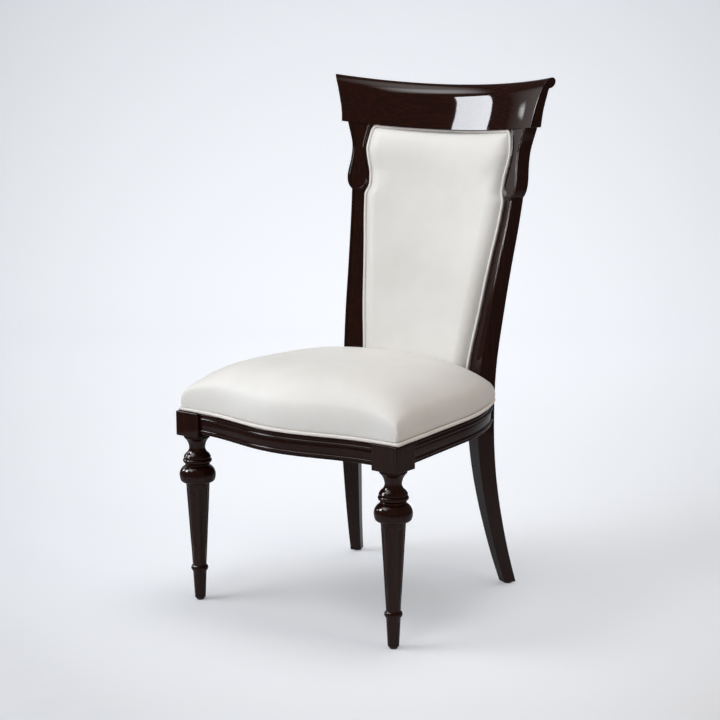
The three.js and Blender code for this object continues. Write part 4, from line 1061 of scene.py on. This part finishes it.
def seat_edge(inset):
    """Right half of the outline from the middle of the front to the rear leg, in steps of about 2 mm."""
    corner_y = rail_face + inset + cushion_corner
    face_x = side_face + (block_half - rail_face - inset) * math.tan(side_taper)
    corner_x = face_x - inset / math.cos(side_taper) - cushion_corner
    x = np.linspace(0, corner_x, 110)
    front = np.stack([x, front_line(x) + inset], axis=1)
    turn = np.linspace(-90, 0, 10)[1:-1] * DEGREE
    round_off = cushion_corner * np.stack([np.cos(turn), np.sin(turn)], axis=1)
    corner = np.array([corner_x, corner_y]) + round_off
    run = np.linspace((corner_y - block_half) / math.cos(side_taper), whole_run, 220)
    x, y, out_x, out_y = side_place(run)
    return np.concatenate([front, corner, np.stack([x - out_x * inset, y - out_y * inset], axis=1)])


def out_and_forward(x, y, height):
    """A place in plan as seen from the nearer post: out along its face, and forward of it."""
    post_x, post_y, _, _ = post_at(height)
    dx, dy = np.abs(x) - post_x, y - post_y
    return (dx * math.cos(post_turn) - dy * math.sin(post_turn),
            -dx * math.sin(post_turn) - dy * math.cos(post_turn))


def swell_at_rear(points, amount):
    """Plan points pushed outwards beside the rear legs, by a bell curve of the distance to the leg: there the
    leather bunches and stands proud of the rail."""
    run = unit(np.gradient(points, axis=0))
    outward = np.stack([run[:, 1], -run[:, 0]], axis=1)
    post_x, post_y, _, _ = post_at(swell_height)
    distance = np.hypot(np.abs(points[:, 0]) - post_x, points[:, 1] - post_y)
    beside = np.abs(points[:, 0]) > post_x - swell_past_post
    return points + outward * (amount * beside * np.exp(-(distance / rear_reach) ** 2))[:, None]


print("half outline is", round(float(reach_along(seat_edge(0))[-1])), "mm long")

# %% [markdown]
# The seat's piping lies on the rails' top edge, and its ends die against the rear legs.


# %% Piping round the seat
def seat_cord_path():
    """The outline drawn in by the cord's radius, up to where it meets the rear leg's outer side."""
    right = seat_edge(seat_cord_radius + gap - cord_overhang)
    right = swell_at_rear(right, rear_swell / 2)
    front_part, into_post = 200, 2
    out, _ = out_and_forward(right[:, 0], right[:, 1], seat_top)
    right = right[(out > post_at(seat_top)[2] / 2 - into_post) | (right[:, 1] < front_part)]
    right = np.column_stack([right, np.full(len(right), seat_top + seat_cord_radius + gap)])
    return np.concatenate([right[:0:-1] * [-1, 1, 1], right])


seat_path = seat_cord_path()
seat_cord_skin = cord_skin(seat_path, np.array([0.0, 0.0, 1.0]), seat_cord_radius)
add_piece("seat_piping_cord", [seat_cord_skin], welt_leather, ["seat_piping"], 60)
print("seat piping is", round(float(reach_along(seat_path)[-1])), "mm long")

# %% [markdown]
# The cushion has an upright wall above the piping, a rounded shoulder and a top that rises to one crown
# behind the middle. The wall tucks in towards the piping, and each front corner has a shallow notch where the
# leather is folded. Its grid is polar: round the outline, and in from it to the crown. Where the back pad
# leans over it, its points are pushed forwards along the back's depth, so the leather meets the pad.

# %% The seat cushion
wall_at_corner, wall_at_side, wall_at_rear = 32.9, 37.0, 26.9
wall_reach, cushion_round, cushion_crown = 82, 14.5, 108.5
dome_power, dome_shape = 4.918, 0.895
corner_blur, blur_power = 171.8, 0.641
peak_share = 0.2756
peak = np.array([0.0, post_reach * peak_share])
cord_proud, wall_tuck = 1.8, 3.6
pleat_half, pleat_tall, pleat_deep = 2.2, 30, 3.2
# Room to the pad and to its piping, which the cushion meets as if the pad began a little lower, was a little
# wider and had its swell from its lower edge on
pad_touch, cord_touch, pad_below = 0.8, 0.6, 1.5
pad_first_share, pad_wider = 0.012, 1.06


def whole_outline(inset, rear_forward):
    """Closed plan outline: right edge, the back between the posts, and the left edge mirrored."""
    right = seat_edge(inset)
    edge = float(back_edge(rear_forward, seat_top + pad_rise, 0))
    rear = back_point(np.linspace(edge, 0, 70), rear_forward, seat_top + pad_rise)[:, :2]
    half = np.concatenate([right, rear])
    return np.concatenate([half, half[-2:0:-1] * [-1, 1]])


def even_outline(outline, count):
    """The same outline in steps of even length."""
    closed = np.concatenate([outline, outline[:1]])
    reach = reach_along(closed)
    at = np.arange(count) * reach[-1] / count
    return np.stack([np.interp(at, reach, closed[:, axis]) for axis in (0, 1)], axis=1)


def before_pad(points):
    """Points that would lie inside the back pad or its piping, pushed forwards to just before it."""
    x, y, z = points[..., 0], points[..., 1], points[..., 2]
    post_x, post_y, _, deep = post_at(z)
    centre = post_y - post_x / math.tan(post_turn)
    radius = np.hypot(x, y - centre)
    angle = np.arctan2(x, y - centre)
    forward = post_x / math.sin(post_turn) - radius
    edge = back_edge(deep / 2, z, 0)
    across = np.clip(np.abs(angle) / edge, 0, 1)
    share = np.clip((z - pad_bottom) / (crest_bottom - pad_bottom), pad_first_share, 1)
    pad = pad_front(np.clip(across * pad_wider, 0, 1), share, z) + pad_touch
    cord = deep / 2 + cord_proud_of_post + cord_radius + cord_touch
    limit = np.maximum(pad, cord)
    meets = (np.abs(angle) < edge) & (z > pad_bottom - pad_below)
    radius = post_x / math.sin(post_turn) - np.where(meets, np.maximum(forward, limit), forward)
    return np.stack([radius * np.sin(angle), centre + radius * np.cos(angle), z], axis=-1)


def relaxed(outline, blur):
    """Rings from one outline: each is the outline as heat flowing along it would soften it, blurred over its
    own width in millimetres. In waves along the outline this is a product, so the rings come from one
    Fourier transform."""
    length = reach_along(np.concatenate([outline, outline[:1]]))[-1]
    wave = 2 * math.pi * np.fft.fftfreq(len(outline), 1 / len(outline)) / length
    waves = np.fft.fft(outline[:, 0] + 1j * outline[:, 1])
    ring = np.fft.ifft(waves[None] * np.exp(-(wave[None] * blur) ** 2 / 2), axis=1)
    return np.stack([ring.real, ring.imag], axis=-1)


def cushion_skin(fine=1800, count=440, rings=72):
    """Height = wall, a quarter ellipse by distance from the edge, + dome by share of the way to the crown.
    The rings lose their corners on the way up, so the ridge from each corner fades into the top. The outline
    is worked out in fine steps, of which count are kept, closest together at the pleats."""
    cord_top = 2 * (seat_cord_radius + gap)
    rear = post_deep / 2 - cord_radius
    inner = even_outline(whole_outline(cord_top + gap, rear), fine)
    outer = swell_at_rear(even_outline(whole_outline(cord_proud, rear), fine), rear_swell)
    share = np.linspace(0, 1, rings + 1)[:-1, None] ** 1.6
    plan = peak + (relaxed(outer, corner_blur * share ** blur_power) - peak) * (1 - share[..., None])
    reach = np.linalg.norm(plan - outer[None], axis=-1)
    drop = 1 - np.clip(reach / cushion_round, 0, 1)
    corner = outer[np.argmax(outer[:, 0] - outer[:, 1])]
    post = np.stack(post_at(swell_height)[:2])
    mirrored = np.abs(outer) * [1, 0] + outer * [0, 1]
    to_corner = np.linalg.norm(mirrored - corner, axis=1)
    to_post = np.linalg.norm(mirrored - post, axis=1)
    wall_top = wall_at_side - (wall_at_side - wall_at_corner) * np.exp(-(to_corner / wall_reach) ** 2)
    wall_top = wall_top - (wall_at_side - wall_at_rear) * np.exp(-(to_post / wall_reach) ** 2)
    low = cord_top + 2 * gap
    wall = low + (wall_top - low) * np.sqrt(1 - drop ** 2)
    dome = (1 - (1 - share) ** dome_power) ** dome_shape * (cushion_crown - wall_top)
    height = seat_top + wall + dome
    pleat = np.exp(-(to_corner / pleat_half) ** 2) * np.clip(1 - (height - seat_top) / pleat_tall, 0, 1)
    tuck = wall_tuck * (1 - (wall - low) / (wall_top - low)) ** 2
    plan = plan + unit(peak - plan) * (pleat * pleat_deep + tuck)[..., None]
    top = np.concatenate([plan, height[..., None]], axis=-1)
    base = seat_top + gap
    skirt = [np.column_stack([inner, np.full(fine, z)]) for z in (base, seat_top + cord_top)]
    skirt.append(np.column_stack([plan[0], np.full(fine, seat_top + low - gap)]))
    pleat_reach, pleat_rows = 9, 9
    at = np.cumsum(1 + pleat_rows * np.exp(-(to_corner / pleat_reach) ** 2))
    pick = np.interp((np.arange(count) + 0.5) / count * at[-1], at, np.arange(fine))
    pick = np.unique(pick.round().astype(int))
    rings_all = before_pad(np.concatenate([np.array(skirt), top])[:, pick])
    crown = [peak[0], peak[1], float(height[-1].mean())]
    return domed_skin(rings_all, [peak[0], peak[1], base], crown)


seat_cushion = add_piece("seat_cushion_leather", [cushion_skin()], pearl_leather,
                         ["seat_cushion"], 60)

# %% [markdown]
# The rear legs stand through the cushion's corners, so their outline is cut out of it with a hair of room.
# The dust cover below is cut in the same way, so the cut is a function of the piece and the cutters.


# %% Cut the rear legs out of the cushion
def leg_cutter(side, low, high, room):
    """A plain box round a rear leg between two heights, open to the rear."""
    heights = np.linspace(low, high, 16)
    _, _, wide, deep = post_at(heights)
    half = (wide / 2 + room)[:, None] * np.array([-1, 1, 1, -1])
    forward = np.stack([-deep * 2, -deep * 2, deep / 2 + room, deep / 2 + room], axis=1)
    return skin(post_point(side, heights[:, None], half, forward))


def cut_away(piece, cutter_skins, sharp):
    """Takes closed skins out of a piece, and keeps the edges crisp that turn more than sharp degrees."""
    cutter = add_piece("cutter", cutter_skins, pearl_leather)
    cut = piece.modifiers.new("cut", "BOOLEAN")
    cut.operation, cut.solver, cut.object = "DIFFERENCE", "EXACT", cutter
    mesh = bpy.data.meshes.new_from_object(piece.evaluated_get(bpy.context.evaluated_depsgraph_get()))
    piece.modifiers.clear()
    piece.data = mesh
    bpy.data.objects.remove(cutter)
    mesh.shade_smooth()
    mesh.set_sharp_from_angle(angle=math.radians(sharp))
    print(piece.name, "after the cut:", len(mesh.polygons), "faces")


cushion_room = 0.5
cushion_cutters = [leg_cutter(side, seat_top - 2, seat_top + 120, cushion_room) for side in (1, -1)]
cut_away(seat_cushion, cushion_cutters, 50)

# %% [markdown]
# Black cloth is stretched under the rails to catch dust. It is cut to the seat's outline 8 mm in from the
# rails' faces, round the front legs' blocks and the rear legs, and it sags a little in the middle. Its flat
# size is that of the stretched cloth, because the sag adds less than a thousandth.

# %% The dust cover
cover_inset, cover_rear, cover_sag, cover_thick = 8.0, -3.0, 3.0, 0.6
notch_room, leg_room = 1.3, 1.0
notch = block_half + notch_room
cut_low, cut_high = rail_bottom - 12, rail_bottom + 8


def dust_cover_skin(count=360, rings=14):
    """Height = rails' underside - sag (1 - r^2)^2, where r is the share of the way out from the middle."""
    outline = even_outline(whole_outline(cover_inset, cover_rear), count)
    middle = np.array([0.0, outline[:, 1].mean()])
    share = np.linspace(1, 0, rings + 1)[:-1, None, None]
    plan = middle + (outline - middle)[None] * share
    height = rail_bottom - gap - cover_sag * (1 - share ** 2) ** 2 + 0 * plan[..., :1]
    low = np.concatenate([plan, height - cover_thick], axis=-1)[::-1]
    high = np.concatenate([plan, height], axis=-1)
    top = rail_bottom - gap - cover_sag
    return domed_skin(np.concatenate([low, high]), [*middle, top - cover_thick], [*middle, top])


dust_cover = add_piece("dust_cover_cloth", [dust_cover_skin()], dust_cloth, ["dust_cover"], 40)
square = ((-1, -1), (1, -1), (1, 1), (-1, 1))
notches = [skin([[[side * leg_x + notch * x, notch * y, z] for x, y in square] for z in (cut_low, cut_high)])
           for side in (1, -1)]
cut_away(dust_cover, notches + [leg_cutter(side, cut_low, cut_high, leg_room) for side in (1, -1)], 40)

# %% [markdown]
# ## Studio
# The camera stands where the photograph's vanishing lines put it, and its lens and roll are solved from the
# same lines.

# %% Camera
camera_turn, camera_rise, camera_roll = 37.470 * DEGREE, 10.666 * DEGREE, -0.266 * DEGREE
camera_place = Vector((2.1355, -2.5652 + origin[1] * MM, 1.1526))
camera_lens, camera_film = 88.73, 36
right = Vector((math.cos(camera_turn), math.sin(camera_turn), 0))
back = Vector((math.sin(camera_turn) * math.cos(camera_rise), -math.cos(camera_turn) * math.cos(camera_rise),
               math.sin(camera_rise)))
up = back.cross(right)
rolled_right = right * math.cos(camera_roll) + up * math.sin(camera_roll)
rolled_up = up * math.cos(camera_roll) - right * math.sin(camera_roll)
camera_data = bpy.data.cameras.new("camera")
camera_data.sensor_width, camera_data.lens = camera_film, camera_lens
camera = bpy.data.objects.new("camera", camera_data)
turn = Matrix((rolled_right, rolled_up, back)).transposed().to_4x4()
camera.matrix_world = Matrix.Translation(camera_place) @ turn
bpy.context.collection.objects.link(camera)
bpy.context.scene.camera = camera
print("camera at", tuple(round(v, 3) for v in camera_place))

# %% [markdown]
# The chair stands on a roll of pale paper, whose floor curves up into a wall. On top of its lit colour the
# paper has painted light: an emission that the camera, reflections and clear parts see, and that doesn't
# light the chair. It is brightest in a pool in the middle, where the floor turns up, and painted darker
# towards the sides and ends.


# %% Floor and backdrop
def backdrop_sheet():
    """A roll of paper: a floor that curves up into a wall behind the chair. Its grid runs along the view and
    sideways. Each point also gets its place sideways and its run along the paper, all in metres."""
    bend, reach, high, wide, near = 1.2, 3.2, 3.4, 1.9, -1.7
    turn = np.linspace(0, 90, 40)[1:] * DEGREE
    floor, wall = np.linspace(near, reach, 60), np.linspace(bend, high, 30)[1:]
    depth = np.concatenate([floor, reach + bend * np.sin(turn), 0 * wall + reach + bend])
    height = np.concatenate([0 * floor, bend * (1 - np.cos(turn)), wall])
    run = np.concatenate([floor, reach + bend * turn, reach + bend * (math.pi / 2 - 1) + wall])
    side = np.linspace(-wide, wide, 49)
    x = side * math.cos(camera_turn) - depth[:, None] * math.sin(camera_turn)
    y = side * math.sin(camera_turn) + depth[:, None] * math.cos(camera_turn)
    return np.stack(np.broadcast_arrays(x, y, height[:, None]), axis=-1), side, run[:, None]


def paper_painted_light(side, run):
    """Strength of the paper's painted light = floor level + rise - fall: it rises from floor to wall, and
    falls off with the square of the distance sideways and along the run, a painted pool of light. Sideways
    places are divided by the distance from the camera."""
    camera_far, pool_side, pool_run = 3.4, 0.13, 2.72
    floor_level, wall_rise, rise_from, rise_to = 0.533, 0.2, 0.57, 3.42
    fall_aside, fall_along = 2.98, 0.032
    rise = wall_rise * smooth_step(run, rise_from, rise_to)
    fall = fall_aside * ((side - pool_side) / (camera_far + run)) ** 2 + fall_along * (run - pool_run) ** 2
    return np.maximum(floor_level + rise - fall, 0)


stage_points, stage_side, stage_run = backdrop_sheet()
stage_quads = grid_quads(*stage_points.shape[:2], False)
stage_mesh = bpy.data.meshes.new("backdrop")
stage_mesh.from_pydata(stage_points.reshape(-1, 3), [], stage_quads.tolist())
stage_painted_light = paper_painted_light(stage_side, stage_run)
stage_mesh.attributes.new("painted_light", "FLOAT", "POINT").data.foreach_set("value", stage_painted_light.ravel())
stage_mesh.shade_smooth()
stage = bpy.data.objects.new("backdrop", stage_mesh)
bpy.context.collection.objects.link(stage)

paper, tree, shader = new_material("pale_backdrop_paper")
set_inputs(shader, Base_Color=colour("#dde0e5"), Roughness=0.9, Specular_IOR_Level=0.0)
path = add_node(tree, "ShaderNodeLightPath")
seen = path.outputs["Is Camera Ray"]
for kind_of_ray in ("Is Glossy Ray", "Is Transmission Ray"):
    seen = add_node(tree, "ShaderNodeMath", {"operation": "MAXIMUM"}, i0=seen,
                    i1=path.outputs[kind_of_ray]).outputs[0]
# Painted light on the paper: an emission whose strength is set at each point, seen only by camera, glossy and
# transmission rays.
level = add_node(tree, "ShaderNodeAttribute", {"attribute_name": "painted_light"}).outputs["Fac"]
strength = add_node(tree, "ShaderNodeMath", {"operation": "MULTIPLY"}, i0=seen, i1=level).outputs[0]
painted_light = add_node(tree, "ShaderNodeEmission", Color=colour("#f3f6fb"), Strength=strength)
both = add_node(tree, "ShaderNodeAddShader", i0=shader.outputs[0], i1=painted_light.outputs[0])
set_inputs(tree.nodes["Material Output"], Surface=both.outputs[0])
stage_mesh.materials.append(paper)
print("the paper glows from", round(float(stage_painted_light.min()), 2), "to", round(float(stage_painted_light.max()), 2))

# %% [markdown]
# Polished wood shows its lamps, and leather shows only their light, so most lamps here do one of the two.
# A square window to the left gleams on the crest, a strip and a broad flare beside it on the posts and the
# turnings, and a panel overhead on all that looks up. A key light from the front left does both. Four more
# only light: from the front, the front left and above, and a warm, weak one opens the shaded side.


# %% Lamps
def softbox(name, place, target, size, power, tint="#ffffff", soft=True, gleams=True, lights=True):
    """A rectangular area light at a place, turned to face a target. A soft one is brightest in its middle,
    strength = (1 - u^2) (1 - v^2) 9/4, so its reflection has no edge."""
    data = bpy.data.lights.new(name, "AREA")
    data.shape, data.size, data.size_y = "RECTANGLE", size[0], size[1]
    data.energy = power
    data.color = colour(tint)[:3]
    if soft:
        data.use_nodes = True
        tree = data.node_tree
        spot = add_node(tree, "ShaderNodeNewGeometry").outputs["Parametric"]
        parts = add_node(tree, "ShaderNodeSeparateXYZ", Vector=spot)
        fall = []
        for axis in ("X", "Y"):
            middle = add_node(tree, "ShaderNodeMath", {"operation": "MULTIPLY_ADD"}, i0=parts.outputs[axis],
                              i1=2.0, i2=-1.0).outputs[0]
            square = add_node(tree, "ShaderNodeMath", {"operation": "MULTIPLY"}, i0=middle, i1=middle)
            fall.append(add_node(tree, "ShaderNodeMath", {"operation": "MULTIPLY_ADD"},
                                 i0=square.outputs[0], i1=-1.5, i2=1.5).outputs[0])
        both = add_node(tree, "ShaderNodeMath", {"operation": "MULTIPLY"}, i0=fall[0], i1=fall[1])
        set_inputs(tree.nodes["Emission"], Strength=both.outputs[0])
    lamp = bpy.data.objects.new(name, data)
    lamp.location = place
    lamp.rotation_euler = (Vector(place) - Vector(target)).to_track_quat("Z", "Y").to_euler()
    lamp.visible_glossy, lamp.visible_diffuse = gleams, lights
    bpy.context.collection.objects.link(lamp)
    print(name, power, "W")


softbox("window_left", (-1.55, -1.13, 1.53), (0.06, 0.27, 0.98), (0.56, 0.62), 51, "#f6f9ff", soft=False,
        lights=False)
softbox("strip_left", (-2.6, -0.59, 1.3), (0.2, 0.24, 0.97), (0.2, 0.7), 26, lights=False)
softbox("key_left", (-1.25, -1.43, 2.66), (0, 0.1, 0.7), (2.1, 0.95), 31)
softbox("flare_left", (-3.0, 0.13, 1.6), (0.2, 0.24, 0.95), (2.4, 1.5), 12, lights=False)
softbox("ceiling_gleam", (-1.1, -1.0, 3.1), (0.0, 0.1, 1.0), (2.2, 2.2), 30, lights=False)
softbox("front_left", (-1.9, -2.4, 1.5), (0, 0, 0.6), (1.8, 1.6), 16.5, gleams=False)
softbox("overhead", (0.2, 0.3, 3.0), (0, 0, 0.4), (2.0, 2.0), 28, gleams=False)
softbox("fill_right", (2.9, 0.1, 1.4), (0, 0, 0.6), (1.2, 1.6), 15, "#ffe0c4", gleams=False)
softbox("front", (0.6, -3.2, 1.4), (0, 0, 0.6), (1.8, 1.6), 23.5, gleams=False)

# %% [markdown]
# The room beyond the paper is a dim, even grey to the chair. The camera sees it pale, so that a view from
# another side has a background like the paper.

# %% The room
room_light, room_seen = 0.24, 0.95
world = bpy.data.worlds.new("studio")
bpy.context.scene.world = world
world.use_nodes = True
path = add_node(world.node_tree, "ShaderNodeLightPath")
level = add_node(world.node_tree, "ShaderNodeMapRange", Value=path.outputs["Is Camera Ray"],
                 To_Min=room_light, To_Max=room_seen)
set_inputs(world.node_tree.nodes["Background"], Color=colour("#e4e6e8"), Strength=level.outputs["Result"])
print("the room is", room_light, "to the chair and", room_seen, "to the camera")

# %% The view transform
bpy.context.scene.view_settings.view_transform = "Standard"
